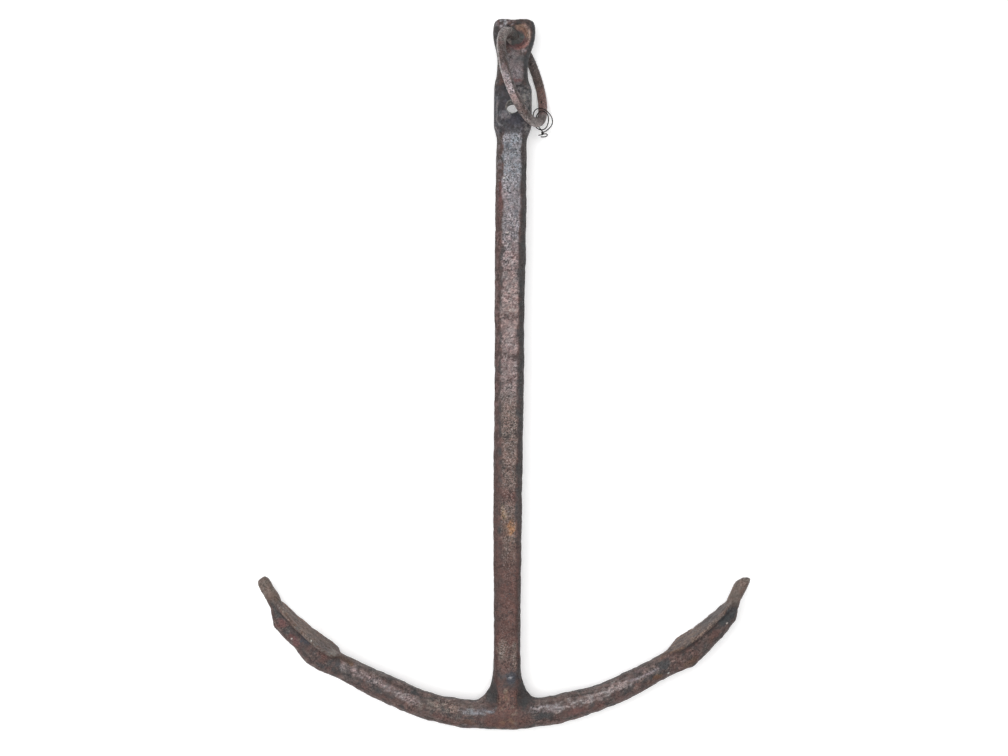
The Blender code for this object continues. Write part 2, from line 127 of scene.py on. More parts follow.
# The anchor's own origin: the shank's axis, the crown's lowest point, the middle of the bar's thickness.
ANCHOR_ORIGIN = Vector((0.0064, -0.59725, 0.0535))
EASING_ROUNDS = 26
FIRST_EASING = 0.5  # the first round eases every edge, the others the joints alone
CROWN_EASING = 0.75
PALM_EASING = 0.7
CURVE_ROUNDS = 3
HEAD_SKIN = 0.0002  # the head and boss are taken in by this much
MOST_SWELL = 0.0008  # elsewhere no mark stands out further than this
BOX_GAP = 0.0001  # the skin ends this far inside the anchor's box
HAMMER_DEPTH = 0.00035
HAMMER_SIZE = 0.034
PEEN_DEPTH = 0.00025
PEEN_SIZE = 0.011
EDGE_WEAR = 0.0012
SCALLOP_DEPTH = 0.0022
SCALLOP_SIZE = 0.024
SCALLOP_MEAN = 0.4  # share of the scallops' depth that a corner has on average
SIDE_DEPTH = 0.0012
SIDE_SIZE = 0.017
PIT_DEPTH = 0.0005
PIT_SIZE = 0.0042
PIT_MEAN = 0.3  # share of the pits' depth that the skin has on average
EYE_CALM = 0.7  # the marks are this much shallower on the eye's wall
EYE_CENTRE = (0.0052, 1.1668)
# Dents across the shank's front face: height up the shank, half length, depth.
SHANK_DENTS = [(0.695, 0.0050, 0.0014), (0.628, 0.0042, 0.0016), (0.586, 0.0040, 0.0008)]
DENT_WANDER = 0.0022


def merged_copy(node, name):
    """A copy of a CAD node with its loose triangles joined."""
    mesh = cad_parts[node].data.copy()
    mesh.name = name
    mesh.materials.clear()
    for layer in [a for a in mesh.attributes if a.name == "custom_normal"]:
        mesh.attributes.remove(layer)
    shell = bmesh.new()
    shell.from_mesh(mesh)
    bmesh.ops.remove_doubles(shell, verts=shell.verts, dist=MERGE_GAP)
    bmesh.ops.recalc_face_normals(shell, faces=shell.faces)
    shell.to_mesh(mesh)
    shell.free()
    made = bpy.data.objects.new(name, mesh)
    bpy.context.scene.collection.objects.link(made)
    return made


def settle(piece):
    """Gives the piece the mesh that its modifiers make."""
    bpy.context.view_layer.update()
    seen = piece.evaluated_get(bpy.context.evaluated_depsgraph_get())
    final = bpy.data.meshes.new_from_object(seen)
    piece.modifiers.clear()
    final.name = piece.name
    piece.data = final


def rise(value, low, high):
    """0 below low, 1 above high, and a smooth step between them."""
    share = np.clip((value - low) / (high - low), 0, 1)
    return share * share * (3 - 2 * share)


def lumps(points, size, octaves=1, seed=0.0):
    """Smooth random values between about -1 and 1, in lumps of the given size."""
    shift = Vector((seed, 0.37 * seed, 1.7 * seed))
    return np.array([noise.fractal(Vector(p) / size + shift, 0.8, 2.1, octaves) for p in points])


def read_surface(mesh):
    """Every vertex's place, its place in the anchor's frame, its normal, and the edges' vertex pairs."""
    places = np.empty(len(mesh.vertices) * 3, np.float32)
    mesh.vertices.foreach_get("co", places)
    normals = np.empty(len(mesh.vertices) * 3, np.float32)
    mesh.vertices.foreach_get("normal", normals)
    pairs = np.empty(len(mesh.edges) * 2, np.int32)
    mesh.edges.foreach_get("vertices", pairs)
    places = places.reshape(-1, 3).astype(float)
    normals = normals.reshape(-1, 3).astype(float)
    return places, places - np.array(ANCHOR_ORIGIN), normals, pairs.reshape(-1, 2)


def put_vertices(mesh, places):
    """Moves the mesh's vertices to new places."""
    mesh.vertices.foreach_set("co", places.ravel())
    mesh.update()


def neighbour_mean(values, pairs):
    """The mean of each vertex's neighbours."""
    total = np.zeros_like(values)
    np.add.at(total, pairs[:, 0], values[pairs[:, 1]])
    np.add.at(total, pairs[:, 1], values[pairs[:, 0]])
    count = np.bincount(pairs.ravel(), minlength=len(values)).astype(float)
    return total / (count if values.ndim == 1 else count[:, None])


forging = merged_copy("anchor_forging", "forging")
skin = forging.modifiers.new("skin", "REMESH")
skin.mode = "VOXEL"
skin.voxel_size = SKIN_GRID
skin.use_smooth_shade = True
settle(forging)
snug = forging.modifiers.new("snug", "SHRINKWRAP")
snug.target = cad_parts["anchor_forging"]
snug.wrap_method = "NEAREST_SURFACEPOINT"
settle(forging)

# Forging has run the shank, the webs and the arms together: the joints between them are eased most.
places, own, normals, pairs = read_surface(forging.data)
crown_share = rise(-own[:, 1], -0.135, -0.100) * rise(-np.abs(own[:, 0]), -0.075, -0.050)
palm_share = rise(np.abs(own[:, 0]), 0.225, 0.245) * rise(-np.abs(own[:, 0]), -0.320, -0.290)
palm_share = palm_share * rise(-np.abs(own[:, 2]), -0.048, -0.030)
joint_share = np.maximum(CROWN_EASING * crown_share, PALM_EASING * palm_share)[:, None]
eased = places
for turn in range(EASING_ROUNDS):
    share = joint_share if turn else FIRST_EASING
    eased = eased + share * (neighbour_mean(eased, pairs) - eased)
put_vertices(forging.data, eased)
places, own, normals, pairs = read_surface(forging.data)
across, up, high = own.T
to_right, to_head, to_top = normals.T  # how far each spot faces those ways

# How sharply the skin turns, positive on outer edges and negative in inner corners.
curve = ((places - neighbour_mean(places, pairs)) * normals).sum(1) / SKIN_GRID
for _ in range(CURVE_ROUNDS):
    curve = 0.4 * curve + 0.6 * neighbour_mean(curve, pairs)
sharp = rise(curve, 0.03, 0.14)
hollow = rise(-curve, 0.02, 0.10)

# Broad hammer marks, small peen marks and rust pits go all over, and the outer edges are worn down.
hammer = lumps(own, HAMMER_SIZE, 2, 3.1)
peen = lumps(own, PEEN_SIZE, 2, 7.7)
pits = lumps(own, PIT_SIZE, 2, 1.3)
depth = HAMMER_DEPTH * hammer + PEEN_DEPTH * peen - PIT_MEAN * PIT_DEPTH
depth = depth + PIT_DEPTH * rise(pits, 0.05, 0.75)
depth = depth + EDGE_WEAR * sharp * rise(peen, 0.1, 0.8)
# Each corner was hammered down by its own row of blows, so the edges of the flat faces come out scalloped.
on_corner = rise(np.abs(to_top), 0.25, 0.45) * rise(-np.abs(to_top), -0.93, -0.80)
on_bar = rise(up, 0.14, 0.17) * rise(1.0 - up, 0, 0.02) * rise(0.05 - np.abs(across), 0, 0.01)
blows = lumps(own * (0, 1, 0) + np.sign(across)[:, None] * (7, 0, 0), SCALLOP_SIZE, 2, 5.9)
depth = depth + SCALLOP_DEPTH * (rise(blows, -0.45, 0.45) - SCALLOP_MEAN) * on_corner * on_bar
steep = rise(-np.abs(to_top), -0.75, -0.45)
side_blows = lumps(own + np.sign(across)[:, None] * (0, 0.31, 0), SIDE_SIZE, 2, 6.6)
depth = depth + SIDE_DEPTH * side_blows * steep * rise(0.985 - up, 0, 0.025)
for dent_up, half_length, dent_depth in SHANK_DENTS:
    wander = DENT_WANDER * np.sin(across * 260 + dent_up * 50)
    shape = np.exp(-(((up + wander - dent_up) / half_length) ** 2))
    depth = depth + dent_depth * shape * rise(to_top, 0.5, 0.9) * (up > 0.2)
# Where the ring swings, over the head and the boss, nothing stands out beyond the forging's own shape.
from_eye = np.hypot(across - EYE_CENTRE[0], up - EYE_CENTRE[1])
in_swing = rise(up, 0.960, 0.985)
depth = depth + HEAD_SKIN * in_swing
depth = np.maximum(depth, -MOST_SWELL * (1 - in_swing))
depth = depth * (1 - EYE_CALM * rise(-from_eye, -0.0235, -0.0190) * in_swing)
moved = places - normals * depth[:, None]
put_vertices(forging.data, np.clip(moved, np.array(cad_low) + BOX_GAP, np.array(cad_high) - BOX_GAP))

# ---------------------------------------------------------------- Anchor forging: its colours
# The iron is scaled black in the hollows and rusted red-brown between, and handling has rubbed the flat
# faces and the ridges bare and pale. The colours change slowly along the shank, and single patches of
# orange, crimson and blue-black rust lie where paint or water held on longest. Some of the colours
# below are painted light and shade, and each is marked where it is laid.
SOFTBOX_LIFT = 1.52  # the light and its sheen lift the iron's own colour by this much


def tone(red, green, blue):
    """The iron's own colour, from the screen colour that it has under the overhead softbox."""
    return np.array([((c / 255 + 0.055) / 1.055) ** 2.4 for c in (red, green, blue)]) / SOFTBOX_LIFT


CHARCOAL = tone(77, 74, 74)
BLACK_SCALE = tone(66, 68, 70)
BROWN_SCALE = tone(106, 81, 76)
RED_RUST = tone(116, 82, 76)
CRIMSON = tone(126, 80, 80)
ORANGE_RUST = tone(182, 128, 82)
OCHRE = tone(150, 122, 92)
BARE_BLUE = tone(143, 145, 154)
BARE_LAVENDER = tone(145, 136, 142)
OLIVE_SCALE = tone(116, 92, 84)
EVEN_BROWN = tone(106, 77, 71)
BEIGE_CRUST = tone(160, 146, 130)
BLUE_BLACK = tone(76, 80, 90)
TEAL_BLACK = tone(73, 74, 76)
PALE_EDGE = tone(170, 160, 155)
GLINT_WHITE = tone(255, 250, 242)
BROAD_SIZE = 0.060
PATCH_SIZE = 0.015
FINE_SIZE = 0.0065
FLAKE_SIZE = 0.0048
WRINKLE_SIZE = 0.0115
BLOW_ROW_SIZE = 0.0068
DRAWN_SIZE = 0.0034
BEATEN_SIZE = 0.0030
EDGE_WANDER = 0.0040  # how far the worn face's edges stray
LEFT_STRAY = 0.018
RIGHT_STRAY = 0.023
DEEPEST_DENT = 0.0016  # a dent this deep has the darkest shadow
ARM_CENTRE = (-0.0120, 0.4935)  # middle of the arc that the arms follow
ARM_RADIUS = 0.47
STOCK_HOLE = (0.0014, 1.0450)
SPECK_SIZE = 0.0012
UPPER_FIRST = 0.04  # where two surfaces lie one above the other, a painted glint speck sits on the upper one
# Edges of the shank's worn front face: height, left edge and right edge.
SHANK_FACE = [
    (0.000, -0.0120, 0.0125),
    (0.098, -0.0125, 0.0150),
    (0.153, -0.0122, 0.0145),
    (0.271, -0.0100, 0.0118),
    (0.388, -0.0108, 0.0115),
    (0.479, -0.0112, 0.0121),
    (0.555, -0.0136, 0.0126),
    (0.628, -0.0147, 0.0124),
    (0.747, -0.0141, 0.0122),
    (0.805, -0.0130, 0.0131),
    (0.864, -0.0135, 0.0146),
    (0.906, -0.0150, 0.0156),
    (1.006, -0.0133, 0.0147),
]
# Colour of the shank's worn front face at heights up the shank, and how bare it is there.
FACE_TONES = [
    (0.000, EVEN_BROWN, 0.25),
    (0.090, EVEN_BROWN, 0.20),
    (0.125, tone(110, 87, 80), 0.30),
    (0.150, EVEN_BROWN, 0.12),
    (0.265, EVEN_BROWN, 0.10),
    (0.300, OLIVE_SCALE, 0.35),
    (0.375, OLIVE_SCALE, 0.50),
    (0.394, RED_RUST, 0.20),
    (0.415, OLIVE_SCALE, 0.50),
    (0.545, tone(129, 105, 97), 0.65),
    (0.570, tone(148, 128, 126), 0.60),
    (0.630, tone(150, 129, 128), 0.45),
    (0.675, tone(160, 140, 138), 0.40),
    (0.715, tone(176, 152, 149), 0.42),
    (0.760, tone(156, 138, 137), 0.50),
    (0.800, tone(162, 144, 146), 0.65),
    (0.830, BARE_LAVENDER, 0.95),
    (0.900, BARE_LAVENDER, 1.00),
    (0.930, BARE_BLUE, 1.00),
    (1.010, BARE_BLUE, 0.90),
]
# How much the shank's front face is flaking, at heights up the shank.
FLAKING = [(0.00, 0.20), (0.28, 0.20), (0.33, 0.75), (0.62, 0.75), (0.72, 0.45), (1.01, 0.40)]
# How loose and curled the scale is on the shank's front face, at heights up the shank.
LOOSE_SCALE = [
    (0.03, 0.30),
    (0.12, 0.50),
    (0.16, 0.45),
    (0.20, 0.25),
    (0.27, 0.35),
    (0.31, 0.60),
    (0.45, 0.85),
    (0.57, 0.85),
    (0.61, 0.25),
    (0.80, 0.15),
    (1.01, 0.10),
]


def read_table(table, along, column=1):
    """A column of a table, read off between its rows at each value of its first column."""
    return np.interp(along, [row[0] for row in table], [row[column] for row in table])


def tone_by_height(table):
    """Colour and bareness from a table of heights up the shank, for every vertex."""
    rows = [row[0] for row in table]
    colours = np.column_stack([np.interp(up, rows, [row[1][k] for row in table]) for k in range(3)])
    return colours, read_table(table, up, 2)


facing_up = rise(to_top, 0.60, 0.85)
facing_down = rise(-to_top, 0.60, 0.85)
front = rise(high, -0.004, 0.004)
broad = lumps(own, BROAD_SIZE, 2, 2.6)
patchy = lumps(own, PATCH_SIZE, 3, 11.0)
fine = lumps(own, FINE_SIZE, 3, 5.2)

tints = np.tile(CHARCOAL, (len(own), 1))
bare = np.full(len(own), 0.1)


def lay(mask, colour, bareness=None):
    """Lays a colour over the iron where the mask is 1, and may set how bare the metal is there."""
    global tints, bare
    mask = np.clip(mask, 0, 1)
    tints = tints * (1 - mask[:, None]) + np.asarray(colour) * mask[:, None]
    if bareness is not None:
        bare = bare * (1 - mask) + bareness * mask


def spot(place_across, place_up, half_across, half_up, turn=0.0, ragged=0.45):
    """1 inside an oval patch on the front of the anchor, fading out over a ragged edge."""
    side, rise_up = across - place_across, up - place_up
    long = (side * cos(turn) + rise_up * sin(turn)) / half_across
    short = (rise_up * cos(turn) - side * sin(turn)) / half_up
    return rise(1 - np.hypot(long, short) + ragged * fine, -0.05, 0.55) * front


def lay_patches(patches):
    """Lays oval patches: place across and up, half sizes, turn in degrees, colour, how bare, strength."""
    for place_across, place_up, half_across, half_up, turn, colour, bareness, strength in patches:
        lay(spot(place_across, place_up, half_across, half_up, radians(turn)) * strength, colour, bareness)


def streak(route, half_width, ragged=0.5):
    """1 along a line of points on the front of the anchor, fading out over a ragged edge."""
    nearest = np.full(len(own), 1.0)
    for (x0, y0), (x1, y1) in zip(route, route[1:]):
        run_x, run_y = x1 - x0, y1 - y0
        share = ((across - x0) * run_x + (up - y0) * run_y) / (run_x * run_x + run_y * run_y)
        share = np.clip(share, 0, 1)
        nearest = np.minimum(nearest, np.hypot(across - x0 - share * run_x, up - y0 - share * run_y))
    return rise(1 - nearest / half_width + ragged * fine, -0.1, 0.75) * front


# Brown scale nearly all over, and each side of the bars in its own colour by which way it faces; the sides
# facing left are painted darker, partly red-brown rust and partly painted shade.
left_side = rise(-to_right, 0.2, 0.7)
broken_scale = rise(patchy, -0.6, 0.1)
arms_only = rise(0.25 - up, 0, 0.02)
lay(rise(patchy + 0.6 * broad, -0.6, 0.5) * 0.9, BROWN_SCALE, 0.2)
lay(left_side * 0.85, tone(93, 70, 66), 0.2)
lay(left_side * rise(up, 0.90, 0.98) * 0.85, tone(82, 76, 74), 0.35)
lay(rise(-to_head, 0.1, 0.6) * broken_scale * 0.7, tone(116, 92, 88), 0.35)
lay(rise(to_head, 0.1, 0.6) * broken_scale * arms_only * 0.85, tone(124, 107, 103), 0.25)
# The shank's right side is painted charcoal, partly black scale and partly painted shade, which thins out to
# brown towards the crown.
black_side = rise(to_right, 0.25, 0.6) * rise(up, 0.12, 0.16)
lay(black_side * 0.9, CHARCOAL, 0.1)
lay(black_side * rise(0.5 - up, 0, 0.25) * 0.6, tone(104, 86, 82), 0.15)
# Upright walls are painted darkest, as painted shade.
lay(rise(0.34 - np.abs(to_top), 0, 0.22) * 0.6, tone(66, 61, 60), 0.15)

# The shank's worn front face runs from the crown to the boss between two straying edges.
face_left = read_table(SHANK_FACE, up, 1)
face_right = read_table(SHANK_FACE, up, 2)
stray_left = EDGE_WANDER * lumps(own * (0, 1, 0), LEFT_STRAY, 2, 4.0) + 0.0010 * fine
stray_right = EDGE_WANDER * lumps(own * (0, 1, 0), RIGHT_STRAY, 2, 9.0) + 0.0010 * fine
on_face = rise(across - face_left - stray_left, -0.0014, 0.0014)
on_face = on_face * rise(face_right + stray_right - across, -0.0014, 0.0014)
on_face = on_face * rise(1.010 - up + 0.002 * fine, 0, 0.004)
lay(spot(0.001, 0.030, 0.050, 0.060, 0, 0.3) * facing_up * 0.9, EVEN_BROWN * 1.12, 0.25)
on_face = on_face * rise(up, 0.085, 0.120)
lower_shank = rise(0.34 - up, 0, 0.08) * rise(up, 0.11, 0.14) * rise(0.0200 - np.abs(across), 0, 0.004)
lay(lower_shank * front * 0.7, EVEN_BROWN * 0.94, 0.2)
face_tint, face_bare = tone_by_height(FACE_TONES)
lay(on_face * facing_up, face_tint * (1 + 0.22 * patchy[:, None]), face_bare)
lay(on_face * facing_down * 0.8, tone(122, 106, 102), 0.5)
# Flakes as big as a grain of rice, strongest along the middle of the shank where the scale is coming off.
flakes = lumps(own * (1, 0.8, 1), FLAKE_SIZE, 2, 17.3)
flaking = read_table(FLAKING, up) * on_face * facing_up
lay(rise(flakes, 0.15, 0.6) * flaking, tints * 1.50 + 0.02)
lay(rise(-flakes, 0.15, 0.6) * flaking, tints * 0.55)

# Single patches on the shank, in lay_patches' order.
SHANK_PATCHES = [
    (-0.0070, 0.9791, 0.0045, 0.0050, 0, BLUE_BLACK, 0.3, 0.8),
    (0.0023, 0.9725, 0.0050, 0.0040, 0, BLUE_BLACK, 0.3, 0.6),
    (0.0077, 0.9257, 0.0040, 0.0060, 0, BLUE_BLACK, 0.4, 0.5),
    (0.0113, 0.9024, 0.0030, 0.0060, 0, BLUE_BLACK, 0.4, 0.5),
    (0.0083, 0.8689, 0.0045, 0.0100, 0, BLUE_BLACK, 0.4, 0.6),
    (0.0010, 0.8390, 0.0080, 0.0035, 0, CHARCOAL, 0.3, 0.7),
    (-0.0014, 0.8170, 0.0050, 0.0060, 0, CHARCOAL, 0.5, 0.4),
    (0.0030, 0.3400, 0.0120, 0.0240, 0, tone(140, 106, 88), 0.4, 0.7),
    (0.0045, 0.3400, 0.0072, 0.0140, 0, ORANGE_RUST, 0.4, 0.95),
    (-0.0081, 0.3660, 0.0055, 0.0150, 0, OCHRE, 0.5, 0.8),
    (-0.0100, 0.3300, 0.0040, 0.0060, 0, BROWN_SCALE, 0.2, 0.8),
    (-0.0085, 0.1370, 0.0105, 0.0200, 0, tone(132, 114, 104), 0.6, 0.7),
    (0.0125, 0.1290, 0.0042, 0.0300, 0, tone(134, 116, 106), 0.6, 0.6),
    (0.0067, 0.0885, 0.0150, 0.0140, 0, tone(74, 76, 84), 0.15, 0.95),
    # A small blue glint on the blue-black patch: painted highlight.
    (0.0055, 0.0900, 0.0045, 0.0022, 0, BARE_BLUE, 0.8, 0.9),
    # Dark patches across the three dents: painted shadow; the lowest is rust red as well.
    (-0.0020, 0.5885, 0.0120, 0.0060, 0, tone(100, 74, 73), 0.3, 0.85),
    (-0.0080, 0.6300, 0.0090, 0.0038, 0, tone(80, 67, 65), 0.2, 0.90),
    (0.0060, 0.6245, 0.0100, 0.0042, 0, tone(88, 74, 72), 0.2, 0.75),
    (0.0000, 0.6915, 0.0160, 0.0030, 0, tone(90, 74, 72), 0.2, 0.60),
    # A pale patch above the top dent: painted highlight.
    (0.0000, 0.7045, 0.0100, 0.0065, 0, tone(186, 166, 158), 0.5, 0.55),
]
lay_patches(SHANK_PATCHES)
left_chamfer = rise(-across, 0.0135, 0.0155) * rise(across + 0.0225, 0, 0.003) * front
lay(left_chamfer * rise(up - 0.86, 0, 0.02) * rise(0.93 - up, 0, 0.02) * 0.45, CRIMSON)
for dent_up, half_length, dent_depth in SHANK_DENTS:
    shadow = np.exp(-(((up - dent_up) / half_length) ** 2)) * on_face * facing_up
    shadow = shadow * np.clip(1 + 0.9 * fine, 0.3, 1.3) * dent_depth / DEEPEST_DENT
    lay(shadow * 0.85, BROWN_SCALE * 0.62, 0.3)

# Wrinkles left by cold blows run over the middle of the shank, dark in their beds with a bright lip.
wrinkles = lumps(own * (1.0, 0.85, 1.0) + (0.25 * up)[:, None] * (1, 0, 0), WRINKLE_SIZE, 2, 27.1)
mid_face = on_face * facing_up * rise(up, 0.53, 0.60) * rise(0.86 - up, 0, 0.06)
lay(rise(0.12 - np.abs(wrinkles), 0, 0.08) * mid_face * 0.85, tone(96, 72, 72), 0.3)
lay(rise(0.09 - np.abs(wrinkles - 0.21), 0, 0.06) * mid_face * 0.70, tone(192, 174, 172), 0.6)
left_corner = rise(-to_right, 0.2, 0.6) * rise(to_top, 0.15, 0.45)
left_corner = left_corner * rise(up, 0.42, 0.50) * rise(0.90 - up, 0, 0.05)
lay(rise(flakes, 0.0, 0.45) * left_corner * 0.60, tone(138, 114, 113), 0.4)
lay(rise(-flakes, 0.10, 0.50) * left_corner * 0.45, tone(72, 56, 56), 0.2)

# A cold crack across the face, and rows of darker scale between the blows lower down.
COLD_CRACK = [(-0.0130, 0.7690), (-0.0080, 0.7675), (-0.0020, 0.7695), (0.0030, 0.7720), (0.0090, 0.7700)]
lay(streak(COLD_CRACK, 0.0016, 0.3) * 0.75, tone(84, 72, 72), 0.3)
blow_rows = lumps(own * (0.45, 1, 0.45), BLOW_ROW_SIZE, 2, 19.4) * on_face * facing_up
lower_face = rise(up, 0.30, 0.36) * rise(0.62 - up, 0, 0.05)
lay(rise(-blow_rows, 0.05, 0.45) * lower_face * 0.55, tints * 0.45)
lay(rise(blow_rows, 0.10, 0.50) * lower_face * 0.40, tints * 1.45)
flaky = read_table(LOOSE_SCALE, up) * on_face * facing_up
flaky = np.maximum(flaky, spot(-0.0085, 0.1390, 0.0085, 0.0160))
flaky = np.maximum(flaky, spot(0.0125, 0.1290, 0.0030, 0.0300) * 0.8)

# Crown: charcoal webs between shank and arms, and a red-brown ridge with orange and beige flecks.
lay(spot(-0.0300, 0.0700, 0.0170, 0.0420, 0.35, 0.25) * rise(-across, 0.0125, 0.0175), CHARCOAL * 0.88, 0.05)
lay(spot(0.0360, 0.0640, 0.0240, 0.0420, -0.45, 0.25) * rise(across, 0.0145, 0.0195), CHARCOAL * 0.88, 0.05)
crown_foot = rise(0.014 - up + 0.006 * fine, 0, 0.010) * rise(0.09 - np.abs(across), 0, 0.04)
lay(crown_foot * rise(patchy, -0.1, 0.5) * 0.4, tone(140, 104, 76), 0.2)
lay(rise(patchy, 0.1, 0.5) * spot(0.002, 0.035, 0.020, 0.040) * 0.45, OCHRE, 0.35)
lay(rise(fine, 0.25, 0.6) * spot(0.004, 0.040, 0.020, 0.036) * 0.45, BEIGE_CRUST, 0.4)

# Flecks lie along the arms, which were drawn down under the hammer from crown to palm.
arm_arc = np.hypot(across - ARM_CENTRE[0], up - ARM_CENTRE[1])
arm_run = ARM_RADIUS * np.arctan2(across - ARM_CENTRE[0], ARM_CENTRE[1] - up)
drawn = lumps(np.column_stack([0.35 * arm_run, arm_arc, high]), DRAWN_SIZE, 2, 8.4)
on_arms = rise(0.25 - up, 0, 0.03) * rise(np.abs(across), 0.03, 0.05) * front
lay(rise(drawn, 0.10, 0.55) * on_arms * 0.5, tone(142, 122, 114), 0.6)
lay(rise(-drawn, 0.10, 0.55) * on_arms * 0.55, tone(76, 64, 62), 0.3)

# Arms: a pale streak runs out along the ridge of each arm, broken by scale and rust: partly worn bare metal
# and partly painted highlight. The glints beside it are painted highlights.
LEFT_RIDGE = [
    (-0.2770, 0.1065),
    (-0.2544, 0.0980),
    (-0.2258, 0.0850),
    (-0.1850, 0.0635),
    (-0.1618, 0.0535),
    (-0.1485, 0.0485),
]
LEFT_SPECKLED = [(-0.1400, 0.0480), (-0.1115, 0.0423), (-0.0864, 0.0375), (-0.0613, 0.0327)]
LEFT_GLINT = [(-0.0760, 0.0345), (-0.0613, 0.0322), (-0.0420, 0.0325), (-0.0246, 0.0347)]
RIGHT_RIDGE = [(0.0840, 0.0410), (0.1274, 0.0511), (0.1523, 0.0614), (0.1757, 0.0716), (0.2023, 0.0835)]
RIGHT_RIDGE_END = [(0.2080, 0.0870), (0.2223, 0.0921), (0.2439, 0.1023), (0.2555, 0.1091)]
RIGHT_GLINT = [(0.0423, 0.0380), (0.0640, 0.0389), (0.0840, 0.0410)]
streak_share = 0.15 + 0.85 * rise(drawn, -0.30, 0.20)  # the streaks are broken where scale still holds
lay(streak(LEFT_RIDGE, 0.0080) * streak_share, tone(166, 149, 149), 1.0)
lay(streak(LEFT_SPECKLED, 0.0110, 0.9) * streak_share * 0.8, tone(148, 132, 122), 0.8)
lay(streak(LEFT_GLINT, 0.0070) * streak_share * 0.9, tone(140, 140, 148), 1.0)
lay(streak(RIGHT_RIDGE, 0.0085, 0.7) * streak_share, tone(170, 157, 156), 1.0)
lay(streak(RIGHT_RIDGE_END, 0.0060) * 0.6, tone(118, 104, 104), 0.6)
lay(streak(RIGHT_RIDGE_END, 0.0020) * 0.7, tone(150, 140, 146), 0.8)
lay(streak(RIGHT_GLINT, 0.0068) * streak_share * 0.9, tone(160, 152, 156), 1.0)

# Single patches on the arms and palms.
ARM_PATCHES = [
    (-0.1400, 0.0510, 0.0140, 0.0070, -22, tone(88, 76, 74), 0.3, 0.8),
    (-0.2004, 0.0766, 0.0070, 0.0045, -22, tone(104, 92, 90), 0.4, 0.6),
    (-0.2640, 0.0850, 0.0170, 0.0050, -26, tone(112, 98, 96), 0.3, 0.7),
    (-0.0430, 0.0370, 0.0060, 0.0040, 5, tone(112, 104, 106), 0.4, 0.5),
    (-0.2170, 0.0681, 0.0120, 0.0060, -25, CHARCOAL, 0.1, 0.8),
    (-0.1920, 0.0560, 0.0110, 0.0050, -22, CHARCOAL, 0.1, 0.5),
    (-0.1866, 0.0755, 0.0370, 0.0040, -27, tone(80, 68, 66), 0.1, 0.65),
    (-0.1500, 0.0602, 0.0130, 0.0042, -25, TEAL_BLACK, 0.1, 0.95),
    (-0.3440, 0.1385, 0.0120, 0.0080, -40, tone(86, 77, 76), 0.2, 0.8),
    (-0.2126, 0.0942, 0.0130, 0.0050, -25, tone(130, 118, 112), 0.4, 0.6),
    (0.2225, 0.1030, 0.0130, 0.0045, 25, tone(126, 109, 110), 0.4, 0.6),
    (0.0574, 0.0254, 0.0150, 0.0080, 10, BLACK_SCALE, 0.1, 0.9),
    (0.0700, 0.0290, 0.0110, 0.0050, 10, CHARCOAL, 0.1, 0.6),
    (0.1141, 0.0343, 0.0190, 0.0070, 20, tone(118, 84, 80), 0.2, 0.8),
    (0.1558, 0.0464, 0.0150, 0.0060, 24, RED_RUST, 0.2, 0.5),
    (0.2506, 0.0930, 0.0120, 0.0060, 28, tone(134, 98, 72), 0.2, 0.6),
    (0.2391, 0.0830, 0.0090, 0.0060, 28, OLIVE_SCALE, 0.3, 0.7),
    (-0.0640, 0.0160, 0.0200, 0.0060, -8, tone(120, 92, 78), 0.2, 0.5),
    (-0.3776, 0.1778, 0.0130, 0.0110, 60, tone(122, 86, 84), 0.1, 0.9),
    (-0.3555, 0.1478, 0.0150, 0.0080, -50, tone(116, 80, 80), 0.1, 0.9),
    (-0.3388, 0.1500, 0.0085, 0.0140, 40, tone(78, 76, 82), 0.1, 1.0),
    (-0.3790, 0.1900, 0.0170, 0.0060, -45, CHARCOAL, 0.1, 0.85),
    (-0.3084, 0.1230, 0.0140, 0.0060, -38, RED_RUST, 0.2, 0.75),
    (-0.3133, 0.1080, 0.0180, 0.0045, -30, TEAL_BLACK, 0.1, 0.8),
    (-0.2832, 0.1099, 0.0075, 0.0065, -30, TEAL_BLACK, 0.1, 0.9),
    (0.3700, 0.1970, 0.0290, 0.0125, 47, TEAL_BLACK, 0.1, 1.0),
    (0.3494, 0.1658, 0.0120, 0.0080, 45, RED_RUST, 0.2, 0.7),
    (0.3378, 0.1539, 0.0110, 0.0070, 45, tone(116, 90, 80), 0.2, 0.5),
    (0.3070, 0.1180, 0.0200, 0.0080, 38, tone(118, 92, 78), 0.2, 0.8),
]
lay_patches(ARM_PATCHES)

# Palms: dry grey-brown rust on the faces and the bills, with a thin pale line along each upper edge, partly
# worn bare and partly painted highlight.
PALM_FOOT = [(0.270, 0.4605), (0.340, 0.4660), (0.370, 0.4700)]  # how far across, and the arc that it ends on
palm_foot = read_table(PALM_FOOT, np.abs(across))
on_palm = rise(palm_foot - arm_arc, 0, 0.0015) * rise(np.abs(across), 0.255, 0.262)
palm_edges = rise(np.abs(high), 0.025, 0.030) * rise(np.abs(across), 0.240, 0.250)
on_palm = np.maximum(on_palm, palm_edges) * arms_only
lay(on_palm * 0.95, tone(106, 81, 69), 0.3)
lay(on_palm * rise(across, 0, 0.1) * 0.6, tone(107, 86, 79), 0.3)
lay(on_palm * rise(fine, 0.0, 0.5) * 0.65, tone(152, 120, 96), 0.4)
lay(on_palm * rise(-patchy, -0.1, 0.4) * 0.8, tone(84, 68, 63), 0.2)
lay(on_palm * rise(patchy, 0.2, 0.6) * 0.6, tone(128, 100, 80), 0.3)
palm_flank = on_palm * rise(0.80 - to_top, 0, 0.3) * (high > 0.012) * rise(0.457 - arm_arc, 0, 0.004)
lay(palm_flank * 0.7, tone(70, 65, 62), 0.1)
lay(on_palm * rise(0.345 - np.abs(across), 0, 0.05) * rise(-across, 0, 0.1) * 0.6, tone(92, 72, 63), 0.2)
lay(on_palm * spot(-0.3050, 0.1425, 0.0170, 0.0110, -0.6) * 0.8, tone(84, 68, 63), 0.2)
